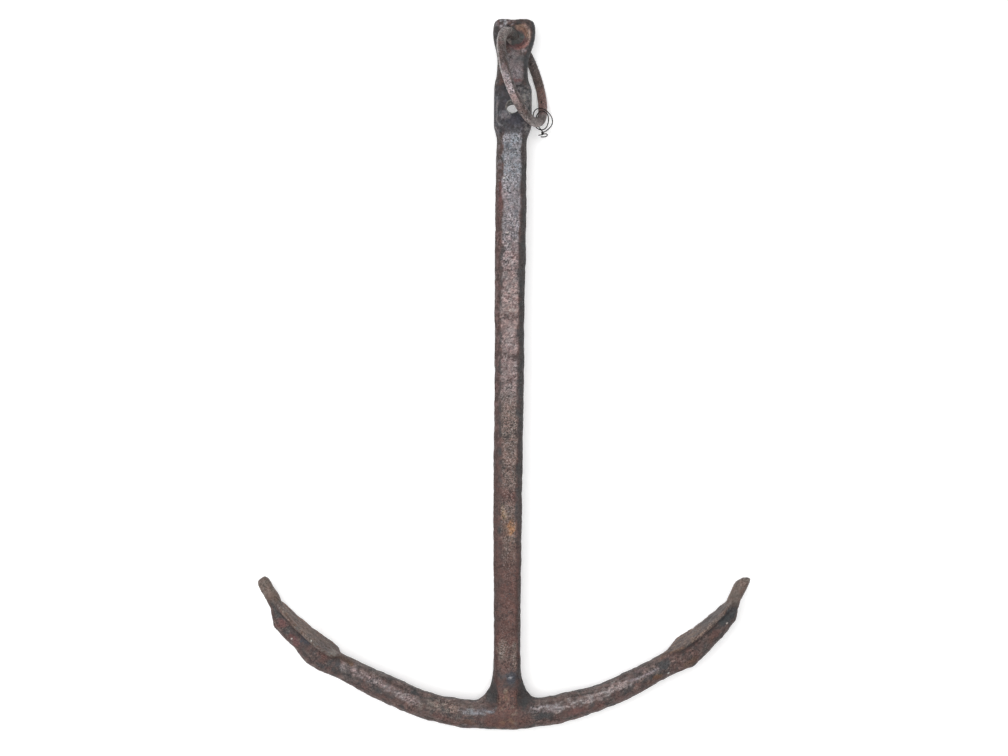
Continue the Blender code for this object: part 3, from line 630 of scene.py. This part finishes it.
lay(on_palm * spot(-0.2890, 0.1340, 0.0100, 0.0080, -0.6) * 0.8, tone(140, 128, 120), 0.3)
lay(on_palm * spot(-0.2868, 0.1391, 0.0070, 0.0050, -0.6) * 0.8, tone(146, 138, 131), 0.3)
lay(spot(0.2626, 0.1134, 0.0140, 0.0085, 0.6) * 0.95, TEAL_BLACK, 0.1)
lay(spot(0.3027, 0.1470, 0.0095, 0.0040, 0.6) * 0.9, CHARCOAL, 0.1)
# Where each palm meets its arm, the hollow is painted lighter against the shade that falls there: painted
# light.
seam_end = np.maximum(spot(-0.2880, 0.1240, 0.0200, 0.0130), spot(0.2760, 0.1300, 0.0200, 0.0130))
lay(hollow * seam_end * 0.8, tone(140, 118, 110), 0.3)
palm_rim = sharp * rise(high, 0.018, 0.024) * rise(np.abs(across), 0.275, 0.29) * rise(0.21 - up, 0, 0.01)
palm_rim = palm_rim * (1 - 0.5 * rise(across, 0, 0.1) * rise(0.35 - across, 0, 0.02))
lay(palm_rim * rise(fine, -0.4, 0.3) * 0.6, tone(150, 140, 134), 0.5)
lay(rise(up, 0.205, 0.222) * rise(np.abs(across), 0.33, 0.35) * 0.85, tone(128, 112, 103), 0.3)

# Head: a lavender neck, charcoal corners, and an orange and crimson arc where the ring has worn the eye.
lay(spot(0.0030, 1.1100, 0.0200, 0.0400, 0, 0.3) * facing_up * 0.8, tone(143, 133, 135), 0.6)
lay(spot(0.0050, 1.1020, 0.0170, 0.0240, 0, 0.3) * facing_up * 0.9, tone(150, 138, 142), 0.8)
dark_flecks = spot(0.0050, 1.1080, 0.0190, 0.0400, 0, 0.3) * facing_up * rise(fine, 0.2, 0.7)
lay(dark_flecks * 0.6, tone(86, 78, 82), 0.5)
lay(spot(0.0090, 1.0893, 0.0100, 0.0035) * 0.7, CRIMSON, 0.4)
lay(spot(0.0130, 1.1245, 0.0120, 0.0050) * 0.55, TEAL_BLACK, 0.3)
lay(spot(-0.0140, 1.1860, 0.0200, 0.0110) * rise(flakes, -0.3, 0.3), tone(190, 184, 190), 0.8)
# Rust lies in a crescent on the eye's rim, orange where it is dry and crimson down in the throat.
rust_middle = np.add(EYE_CENTRE, (0.0030, -0.0030))  # the rust has run a little down and to the right
from_rust = np.hypot(across - rust_middle[0], up - rust_middle[1])
bearing = np.arctan2(up - rust_middle[1], across - rust_middle[0])
reach = 0.0026 * rise(bearing, 0.2, 0.6) * rise(-bearing, -1.4, -1.0)
rim = rise(reach - from_rust + 0.0015 * fine, -0.0232, -0.0202) * front
upper_right = rise(bearing, -0.35, 0.15) * rise(-bearing, -2.3, -1.8)
lower_right = rise(bearing, -1.9, -1.3) * rise(-bearing, -0.15, 0.35)
# Below the eye the rim is painted lighter, against the ring's shadow there: painted light.
lay(rim * rise(rust_middle[1] - up, 0.004, 0.010) * 0.9, tone(164, 128, 128), 0.3)
lay(rim * upper_right * 0.9, tone(188, 152, 132), 0.6)
lay(rim * upper_right * rise(-flakes, 0.0, 0.5) * 0.6, tone(120, 88, 72), 0.5)
lay(rim * upper_right * rise(flakes, 0.1, 0.5) * 0.6, tone(204, 176, 160), 0.7)
lay(rim * lower_right * 0.9, tone(152, 108, 102), 0.35)
right_lip = rim * rise(bearing, -0.7, -0.3) * rise(across, 0.014, 0.018) * rise(from_rust, 0.0170, 0.0195)
lay(right_lip * 0.4, tone(180, 156, 146), 0.6)
lay(rim * lower_right * rise(-from_eye, -0.0195, -0.0165) * 0.8, CRIMSON * 1.42, 0.2)
lay(spot(0.0190, 1.1400, 0.0055, 0.0040) * facing_up * 0.7, tone(152, 138, 140), 0.7)
lay(spot(-0.0290, 1.1660, 0.0085, 0.0250) * 0.9, tone(72, 69, 68), 0.1)
lay(spot(0.0300, 1.1840, 0.0080, 0.0110) * 0.8, CHARCOAL, 0.1)
# The eye's throat is painted near black: painted shade.
lay(rise(-from_eye, -0.0170, -0.0160) * rise(up, 1.12, 1.13), TEAL_BLACK * 0.9, 0.0)

# Stock boss: blue-black cheeks, one worn spot, a pale line down its left edge (edge wear and painted
# highlight) and a pale patch on the right.
boss = rise(up, 0.997, 1.004) * rise(1.083 - up, 0, 0.006)
lay(boss * 0.9, tone(68, 66, 70), 0.2)
boss = boss * front
beaten = lumps(own * (1, 0.3, 1), BEATEN_SIZE, 2, 12.6)
lay(boss * rise(beaten, 0.1, 0.5) * 0.45, tone(106, 105, 118), 0.5)
lay(boss * rise(-beaten, 0.1, 0.5) * 0.5, tone(56, 58, 62), 0.2)
lay(spot(0.0040, 1.0235, 0.0230, 0.0130) * rise(to_top, 0.2, 0.6) * 0.8, tone(64, 63, 74), 0.15)
lay(spot(-0.0080, 1.0450, 0.0150, 0.0200) * 0.5, tone(64, 62, 70), 0.2)
pale_right = rise(fine, -0.2, 0.5) * rise(across, 0.004, 0.012) * rise(up, 1.03, 1.04)
lay(pale_right * rise(1.083 - up, 0, 0.006) * 0.75, tone(138, 132, 132), 0.6)
# The stock hole's left wall is painted pale: painted highlight.
from_hole = np.hypot(across - STOCK_HOLE[0], up - STOCK_HOLE[1])
hole_wall_highlight = rise(-from_hole, -0.0121, -0.0109) * rise(0.004 - across, 0, 0.004) * rise(high, -0.022, -0.014)
lay(hole_wall_highlight * 0.95, tone(225, 222, 216), 0.6)
lay(spot(-0.0124, 1.0304, 0.0095, 0.0095, 0, 0.6) * 0.85, tone(116, 113, 120), 0.8)
BOSS_LEFT_EDGE = [(-0.0252, 1.0610), (-0.0256, 1.0220), (-0.0215, 1.0150), (-0.0148, 1.0120)]
BOSS_LEDGE = [
    (-0.0155, 1.0830),
    (-0.0075, 1.0790),
    (0.0000, 1.0775),
    (0.0105, 1.0800),
    (0.0195, 1.0785),
    (0.0255, 1.0740),
]
# A black line along the step at the boss's top: painted shade.
lay(streak(BOSS_LEDGE, 0.0022, 0.4) * 0.8, tone(48, 47, 50), 0.2)
lay(boss * rise(across, 0.018, 0.024) * rise(flakes, -0.3, 0.3) * 0.7, tone(132, 128, 128), 0.6)
# Sides of the head facing right are painted dark, black scale and painted shade.
lay(rise(to_right, 0.25, 0.6) * rise(up, 1.085, 1.10) * 0.8, tone(66, 66, 68), 0.1)
upper_corner = left_side * rise(to_top, 0.15, 0.45) * rise(up, 0.86, 0.93)
lay(upper_corner * rise(flakes, 0.1, 0.5) * 0.7, tone(134, 126, 132), 0.7)
lay(spot(0.0191, 1.0610, 0.0060, 0.0100) * 0.8, tone(136, 128, 124), 0.6)
# The pale line down the boss's left edge: edge wear and painted highlight.
lay(streak(BOSS_LEFT_EDGE, 0.0013, 0.5) * 0.6, tone(150, 147, 150), 0.6)

# Edges struck bare, and small white specks painted here and there as glints: painted highlights.
lay(sharp * rise(peen, -0.3, 0.5) * 0.30, PALE_EDGE * 0.7, 0.6)
GLINT_SPECKS = [
    (-0.0113, 0.9262),
    (-0.0059, 0.8349),
    (0.0000, 0.7041),
    (-0.3616, 0.1507),
    (-0.3238, 0.1536),
    (0.3673, 0.1835),
    (0.3600, 0.1990),
    (0.2701, 0.0993),
]
for place_across, place_up in GLINT_SPECKS:
    grain = np.argmin(np.hypot(across - place_across, up - place_up) - UPPER_FIRST * high)
    near = np.exp(-(((places - places[grain]) ** 2).sum(1) / SPECK_SIZE**2))
    lay(near, GLINT_WHITE, 0.3)


def paint_layers(piece, tints, bare, flaky):
    """Writes the colours, the bareness and the loose scale onto the piece, for its material to read."""
    colour_layer = piece.data.attributes.new("tint", "FLOAT_COLOR", "POINT")
    rows = np.column_stack([tints, np.ones(len(tints))]).astype(np.float32)
    colour_layer.data.foreach_set("color", rows.ravel())
    bare_layer = piece.data.attributes.new("bare", "FLOAT", "POINT")
    bare_layer.data.foreach_set("value", bare.astype(np.float32))
    flaky_layer = piece.data.attributes.new("flaky", "FLOAT", "POINT")
    flaky_layer.data.foreach_set("value", flaky.astype(np.float32))


paint_layers(forging, tints, bare, flaky)


def add_node(tree, kind, settings=(), **sockets):
    """Adds a shader node. A socket goes by name, or by i and its number, and takes a value or an output."""
    made = tree.nodes.new("ShaderNode" + kind)
    for key, value in dict(settings).items():
        setattr(made, key, value)
    for key, value in sockets.items():
        socket = made.inputs[int(key[1:]) if key[1:].isdigit() else key]
        if isinstance(value, bpy.types.NodeSocket):
            tree.links.new(value, socket)
        else:
            socket.default_value = value
    return made


def arithmetic(tree, operation, first, second=0.0, third=0.0):
    """One sum on shader values."""
    return add_node(tree, "Math", {"operation": operation}, i0=first, i1=second, i2=third).outputs[0]


def remap(tree, value, low, high, new_low, new_high):
    """Runs smoothly from new_low to new_high while the value runs from low to high."""
    smooth = {"interpolation_type": "SMOOTHSTEP"}
    return add_node(tree, "MapRange", smooth, i0=value, i1=low, i2=high, i3=new_low, i4=new_high).outputs[0]


def blend_colours(tree, share, first, second):
    """The first colour where the share is 0 and the second where it is 1."""
    return add_node(tree, "Mix", {"data_type": "RGBA"}, i0=share, i6=first, i7=second).outputs[2]


def clouds(tree, place, fineness, detail, roughness, distortion=0.0):
    """Soft random values, with so many lumps to the metre."""
    grading = {"Detail": detail, "Roughness": roughness, "Distortion": distortion}
    return add_node(tree, "TexNoise", Vector=place, Scale=fineness, **grading).outputs["Fac"]


# How fine each pattern of the iron is, in lumps to the metre.
WANDER_FINENESS = 34.0
MOTTLE_FINENESS = 70.0
DRIFT_FINENESS = 88.0
CURL_FINENESS = 165.0
PIT_FINENESS = 190.0
GRAIN_FINENESS = 330.0
LIFT_FINENESS = 400.0
SALT_FINENESS = 620.0
WARM_TINGE = (1.06, 0.96, 0.94, 1)
COOL_TINGE = (0.95, 1.02, 1.03, 1)
LIFTED_SCALE = (0.33, 0.31, 0.30, 1)
CRACK_BLACK = (0.045, 0.036, 0.036, 1)
CURLED_LIP = (0.36, 0.31, 0.27, 1)
PIT_BLACK = (0.042, 0.043, 0.046, 1)
RELIEF = 0.0012


def rusty_iron(name, roughness, bump, fleck=1.0):
    """Iron whose tint and bareness come with the piece, with grain, speckle and pits of its own."""
    material = bpy.data.materials.new(name)
    material.use_nodes = True
    tree = material.node_tree
    shader = tree.nodes["Principled BSDF"]
    place = add_node(tree, "TexCoord").outputs["Object"]
    tint = add_node(tree, "Attribute", {"attribute_name": "tint"}).outputs["Color"]
    worn = add_node(tree, "Attribute", {"attribute_name": "bare"}).outputs["Fac"]
    loose = add_node(tree, "Attribute", {"attribute_name": "flaky"}).outputs["Fac"]
    wander = clouds(tree, place, WANDER_FINENESS, 2.0, 0.5)
    mottle = clouds(tree, place, MOTTLE_FINENESS, 3.0, 0.6)
    drift = clouds(tree, place, DRIFT_FINENESS, 4.0, 0.6, 0.5)
    curls = clouds(tree, place, CURL_FINENESS, 4.0, 0.6, 1.6)
    grain = clouds(tree, place, GRAIN_FINENESS, 4.0, 0.7, 0.3)
    lifted = clouds(tree, place, LIFT_FINENESS, 2.0, 0.5, 0.9)
    salt = clouds(tree, place, SALT_FINENESS, 3.0, 0.7)
    holes = add_node(tree, "TexVoronoi", Vector=place, Scale=PIT_FINENESS, Randomness=1.0).outputs["Distance"]

    # Light and dark grain, gentle on rusted iron and strong where the metal is bare.
    swing = arithmetic(tree, "MULTIPLY_ADD", worn, 0.40, 0.20)
    swing = arithmetic(tree, "MULTIPLY", swing, remap(tree, wander, 0.35, 0.65, 0.55 * fleck, 1.5 * fleck))
    grain_step = remap(tree, grain, 0.36, 0.64, -1.0, 1.0)
    salt_step = remap(tree, salt, 0.32, 0.68, -0.5, 0.5)
    grain_sum = arithmetic(tree, "ADD", grain_step, salt_step)
    shade = arithmetic(tree, "MULTIPLY_ADD", grain_sum, swing, remap(tree, mottle, 0.3, 0.7, 0.84, 1.16))
    # Loose scale stands in small curls, bright where it lifts and black beside them.
    shade = arithmetic(tree, "MULTIPLY_ADD", remap(tree, lifted, 0.38, 0.62, -0.60, 0.42), loose, shade)
    lit = add_node(tree, "VectorMath", {"operation": "SCALE"}, i0=tint, i3=shade).outputs[0]
    # The whole iron drifts between a warmer and a cooler brown.
    hue = blend_colours(tree, remap(tree, drift, 0.36, 0.64, 0.0, 1.0), WARM_TINGE, COOL_TINGE)
    lit = add_node(tree, "VectorMath", {"operation": "MULTIPLY"}, i0=lit, i1=hue).outputs[0]
    white_lip = arithmetic(tree, "MULTIPLY", remap(tree, lifted, 0.55, 0.66, 0.0, 0.55), loose)
    lit = blend_colours(tree, white_lip, lit, LIFTED_SCALE)
    # Cracks between the flakes are dark, and their curled lips catch the light where the iron is half bare.
    ridge = arithmetic(tree, "ABSOLUTE", arithmetic(tree, "SUBTRACT", curls, 0.47))
    crack_share = remap(tree, worn, 0.1, 0.6, 0.3, 1.0)
    crack = arithmetic(tree, "MULTIPLY", remap(tree, ridge, 0.0, 0.022, 0.62, 0.0), crack_share)
    cracked = blend_colours(tree, crack, lit, CRACK_BLACK)
    lip = arithmetic(tree, "ABSOLUTE", arithmetic(tree, "SUBTRACT", curls, 0.56))
    lip_share = remap(tree, worn, 0.22, 0.5, 0.0, 1.0)
    lip = arithmetic(tree, "MULTIPLY", remap(tree, lip, 0.0, 0.028, 0.75, 0.0), lip_share)
    lip = arithmetic(tree, "MULTIPLY", lip, remap(tree, salt, 0.45, 0.6, 0.2, 1.0))
    flaked = blend_colours(tree, lip, cracked, CURLED_LIP)
    # Pits lie in clusters and hold black scale.
    in_clusters = remap(tree, mottle, 0.46, 0.62, 0.0, 1.0)
    pit = arithmetic(tree, "MULTIPLY", remap(tree, holes, 0.10, 0.36, 0.85, 0.0), in_clusters)
    pitted = blend_colours(tree, pit, flaked, PIT_BLACK)
    tree.links.new(pitted, shader.inputs["Base Color"])
    rough = arithmetic(tree, "MULTIPLY_ADD", worn, -0.20, roughness)
    rough = arithmetic(tree, "ADD", rough, remap(tree, grain, 0.3, 0.7, 0.10, -0.10))
    tree.links.new(rough, shader.inputs["Roughness"])
    # Rust hardly shines, even seen edge on; bare metal does.
    tree.links.new(arithmetic(tree, "MULTIPLY_ADD", worn, 0.27, 0.27), shader.inputs["Specular IOR Level"])
    relief = arithmetic(tree, "MULTIPLY_ADD", grain, 0.7, arithmetic(tree, "MULTIPLY", salt, 0.35))
    relief = arithmetic(tree, "SUBTRACT", relief, arithmetic(tree, "MULTIPLY", crack, 0.4))
    relief = arithmetic(tree, "SUBTRACT", relief, arithmetic(tree, "MULTIPLY", pit, 0.4))
    bumps = add_node(tree, "Bump", Strength=bump, Distance=RELIEF, Height=relief)
    tree.links.new(bumps.outputs["Normal"], shader.inputs["Normal"])
    return material


forging.data.materials.append(rusty_iron("forging_iron", roughness=0.66, bump=0.7, fleck=1.15))
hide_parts("anchor_forging")
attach(forging, "anchor")

# ---------------------------------------------------------------- Ring
# A round wrought-iron ring, 16 mm bar bent and forge-welded through the eye, so it can only swing there. Its
# bar is rusted and pitted all over, rubbed pale where it has lain against the head and the boss; its flanks
# are painted pale on the left as a highlight and dark on the right as shade.
RING_CUTS = 2  # each face of the CAD ring is cut this many times along each edge
RING_SKIN = 0.0003  # the skin is taken in by at least this much
RING_PIT_DEPTH = 0.00055
RING_PIT_SIZE = 0.0036
RING_WEAR_DEPTH = 0.0005
RING_WEAR_SIZE = 0.012
RING_FINE_SIZE = 0.005
# Colours along the front arc and the back arc, by height up the shank.
RING_FRONT_TONES = [
    (1.005, tone(180, 167, 163), 0.80),
    (1.016, tone(166, 152, 148), 0.80),
    (1.025, tone(94, 74, 70), 0.70),
    (1.046, tone(172, 150, 148), 0.90),
    (1.061, tone(178, 162, 165), 0.70),
    (1.080, tone(186, 172, 177), 0.70),
    (1.094, tone(128, 110, 112), 0.60),
    (1.106, tone(86, 71, 71), 0.60),
    (1.140, tone(96, 81, 79), 0.60),
    (1.160, tone(122, 110, 107), 0.80),
    (1.175, tone(138, 127, 124), 0.90),
]
RING_BACK_TONES = [
    (1.005, tone(140, 128, 124), 0.80),
    (1.030, tone(128, 106, 102), 0.70),
    (1.050, tone(140, 102, 98), 0.60),
    (1.075, tone(128, 98, 92), 0.60),
    (1.095, tone(90, 71, 65), 0.60),
    (1.120, tone(92, 79, 76), 0.60),
    (1.145, CHARCOAL, 0.10),
]

ring = merged_copy("ring", "iron_ring")
shell = bmesh.new()
shell.from_mesh(ring.data)
bmesh.ops.subdivide_edges(shell, edges=shell.edges, cuts=RING_CUTS, use_grid_fill=True, smooth=1.0)
bmesh.ops.recalc_face_normals(shell, faces=shell.faces)
shell.to_mesh(ring.data)
shell.free()
ring.data.shade_smooth()
places, own, normals, _ = read_surface(ring.data)
across, up, high = own.T
to_right, _, to_top = normals.T
fine = lumps(own, RING_FINE_SIZE, 2, 15.2)
pits = lumps(own, RING_PIT_SIZE, 2, 21.3)
patchy = lumps(own, RING_WEAR_SIZE, 3, 31.0)
depth = RING_SKIN + RING_PIT_DEPTH * rise(pits, 0.0, 0.7) + RING_WEAR_DEPTH * rise(patchy, 0.1, 0.6)
put_vertices(ring.data, places - normals * depth[:, None])

front_tint, front_bare = tone_by_height(RING_FRONT_TONES)
back_tint, back_bare = tone_by_height(RING_BACK_TONES)
is_front = rise(high, -0.010, 0.002)
tints = front_tint * is_front[:, None] + back_tint * (1 - is_front[:, None])
bare = front_bare * is_front + back_bare * (1 - is_front)
# The bar is rubbed pale on its crest. Its left flank is painted pale, partly rubbed bare and partly painted
# highlight, with painted shade on its steep side; its right flank is painted dark, brown scale and painted
# shade, but lighter beside the eye, painted light against the shade there.
lay(rise(to_right, 0.20, 0.6) * is_front * (0.4 + 0.5 * rise(up, 1.012, 1.026)), tone(80, 69, 66), 0.2)
lay(rise(to_right, 0.15, 0.6) * is_front * rise(up, 1.135, 1.145) * 0.9, tone(138, 129, 125), 0.4)
lay(rise(0.45 - np.abs(to_top), 0, 0.3) * rise(-to_right, 0.1, 0.5) * is_front * 0.5, tone(96, 86, 84), 0.2)
left_rub_and_highlight = rise(-to_right, 0.68, 0.80) * rise(up, 1.055, 1.07) * (1 - 0.6 * rise(up, 1.145, 1.155))
lay(left_rub_and_highlight * is_front * 0.85, tone(205, 198, 198), 0.6)
lay(rise(fine, 0.2, 0.6) * is_front * 0.6, tone(84, 72, 70), 0.4)
lay(rise(-fine, 0.25, 0.6) * is_front * 0.5, tone(172, 158, 158), 0.9)
into_eye = np.maximum(rise(0.010 - high, 0, 0.008), rise(across, -0.0035, 0.0025)) * rise(up, 1.135, 1.15)
lay(into_eye * is_front, tone(112, 111, 109), 0.02)
lay(rise(patchy, 0.2, 0.6) * 0.5, BROWN_SCALE, 0.15)
paint_layers(ring, tints, bare, np.zeros(len(own)))
ring.data.materials.append(rusty_iron("ring_iron", roughness=0.6, bump=0.8, fleck=1.4))
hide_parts("ring")
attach(ring, "ring")

# ---------------------------------------------------------------- Dark plug in the eye, standing in for shade
# A dark plug fills the eye's throat round the ring's bar, so the eye looks closed and dark: it stands in for
# the shade in the eye, painted dark grey in its middle and rust red round its right side. The plug clings to
# the bar and turns with it, dished towards it, and its outside rubs on the eye's wall.
PLUG_STEPS = 64
PLUG_CUTS = 3
PLUG_LUMPS = 0.00015
PLUG_LUMP_SIZE = 0.004
PLUG_FINE_SIZE = 0.005
# Outline from the middle out and back: distance from the eye's middle, height above the bar's middle plane.
PLUG_OUTLINE = [
    (0.0000, 0.0038),
    (0.0060, 0.0040),
    (0.0095, 0.0048),
    (0.0125, 0.0060),
    (0.0150, 0.0076),
    (0.0168, 0.0088),
    (0.0174, 0.0090),
    (0.0165, 0.0066),
    (0.0159, 0.0048),
    (0.0156, 0.0026),
    (0.0156, -0.0034),
    (0.0174, -0.0072),
    (0.0172, -0.0094),
    (0.0110, -0.0112),
    (0.0000, -0.0118),
]

eye_middle = Vector((*EYE_CENTRE, 0)) + ANCHOR_ORIGIN
section = bmesh.new()
corners = [section.verts.new(eye_middle + Vector((distance, 0, height))) for distance, height in PLUG_OUTLINE]
for first, second in zip(corners, corners[1:]):
    section.edges.new((first, second))
bmesh.ops.subdivide_edges(section, edges=section.edges, cuts=PLUG_CUTS)
bmesh.ops.spin(
    section,
    geom=section.verts[:] + section.edges[:],
    cent=eye_middle,
    axis=(0, 0, 1),
    angle=2 * pi,
    steps=PLUG_STEPS,
    use_merge=True,
    use_duplicate=False,
)
bmesh.ops.remove_doubles(section, verts=section.verts, dist=MERGE_GAP)
bmesh.ops.recalc_face_normals(section, faces=section.faces)
shade_plug_mesh = bpy.data.meshes.new("eye_shade_plug")
section.to_mesh(shade_plug_mesh)
section.free()
shade_plug_mesh.shade_smooth()
shade_plug = bpy.data.objects.new("eye_shade_plug", shade_plug_mesh)
bpy.context.scene.collection.objects.link(shade_plug)
places, own, normals, _ = read_surface(shade_plug_mesh)
across, up, high = own.T
lumpy = lumps(own, PLUG_LUMP_SIZE, 3, 41.0)
put_vertices(shade_plug_mesh, places - normals * (PLUG_LUMPS * np.maximum(1 + lumpy, 0))[:, None])
from_rust = np.hypot(across - rust_middle[0], up - rust_middle[1])
bearing = np.arctan2(up - rust_middle[1], across - rust_middle[0])
front = rise(high, -0.003, -0.001)
fine = lumps(own, PLUG_FINE_SIZE, 2, 44.0)
# Painted shade: the plug starts dark grey all over.
tints = np.tile(tone(92, 94, 93), (len(own), 1))
bare = np.full(len(own), 0.05)
# The plug's left side is painted lighter, against the ring's shadow there: painted light.
lay(rise(-across, 0.0000, 0.0040), tone(150, 142, 138), 0.1)
outer = rise(from_rust + 0.002 * fine, 0.0085, 0.0150)
right_half = rise(bearing, -2.2, -1.5) * rise(-bearing, -2.0, -1.4)
lay(outer * right_half, tone(132, 96, 92), 0.2)
lay(outer * rise(from_rust, 0.0120, 0.0150) * right_half * rise(bearing, -0.2, 0.4), tone(166, 130, 112), 0.6)
lay(outer * right_half * rise(-bearing, -0.1, 0.5) * 0.7, tone(138, 94, 94), 0.2)
lay(1 - front, tone(86, 78, 74), 0.1)
paint_layers(shade_plug, tints, bare, np.zeros(len(own)))
shade_plug_mesh.materials.append(rusty_iron("plug_rust_and_shade", roughness=0.85, bump=0.6))
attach(shade_plug, "ring")

# ---------------------------------------------------------------- Tie wire
# Thin annealed iron wire, two loose turns round the ring's bar with its ends twisted together by hand. It
# has oxidised nearly black.
WIRE_FINENESS = 700.0
WIRE_BLACK = (0.014, 0.014, 0.015, 1)
WIRE_RUST = (0.062, 0.039, 0.030, 1)
WIRE_SHINE = 0.15
WIRE_BUMP = 0.4
WIRE_RELIEF = 0.0003

wire = merged_copy("tie_wire", "black_wire")
rounder = wire.modifiers.new("rounder", "SUBSURF")
rounder.levels = 1
rounder.render_levels = 1
settle(wire)
wire.data.shade_smooth()
wire_iron = bpy.data.materials.new("wire_scale")
wire_iron.use_nodes = True
tree = wire_iron.node_tree
place = add_node(tree, "TexCoord").outputs["Object"]
flecks = clouds(tree, place, WIRE_FINENESS, 3.0, 0.6)
rust = remap(tree, flecks, 0.50, 0.68, 0.0, 0.6)
wire_colour = blend_colours(tree, rust, WIRE_BLACK, WIRE_RUST)
shader = tree.nodes["Principled BSDF"]
tree.links.new(wire_colour, shader.inputs["Base Color"])
tree.links.new(remap(tree, flecks, 0.3, 0.7, 0.55, 0.85), shader.inputs["Roughness"])
shader.inputs["Specular IOR Level"].default_value = WIRE_SHINE
bumps = add_node(tree, "Bump", Strength=WIRE_BUMP, Distance=WIRE_RELIEF, Height=flecks)
tree.links.new(bumps.outputs["Normal"], shader.inputs["Normal"])
wire.data.materials.append(wire_iron)
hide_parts("tie_wire")
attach(wire, "ring")
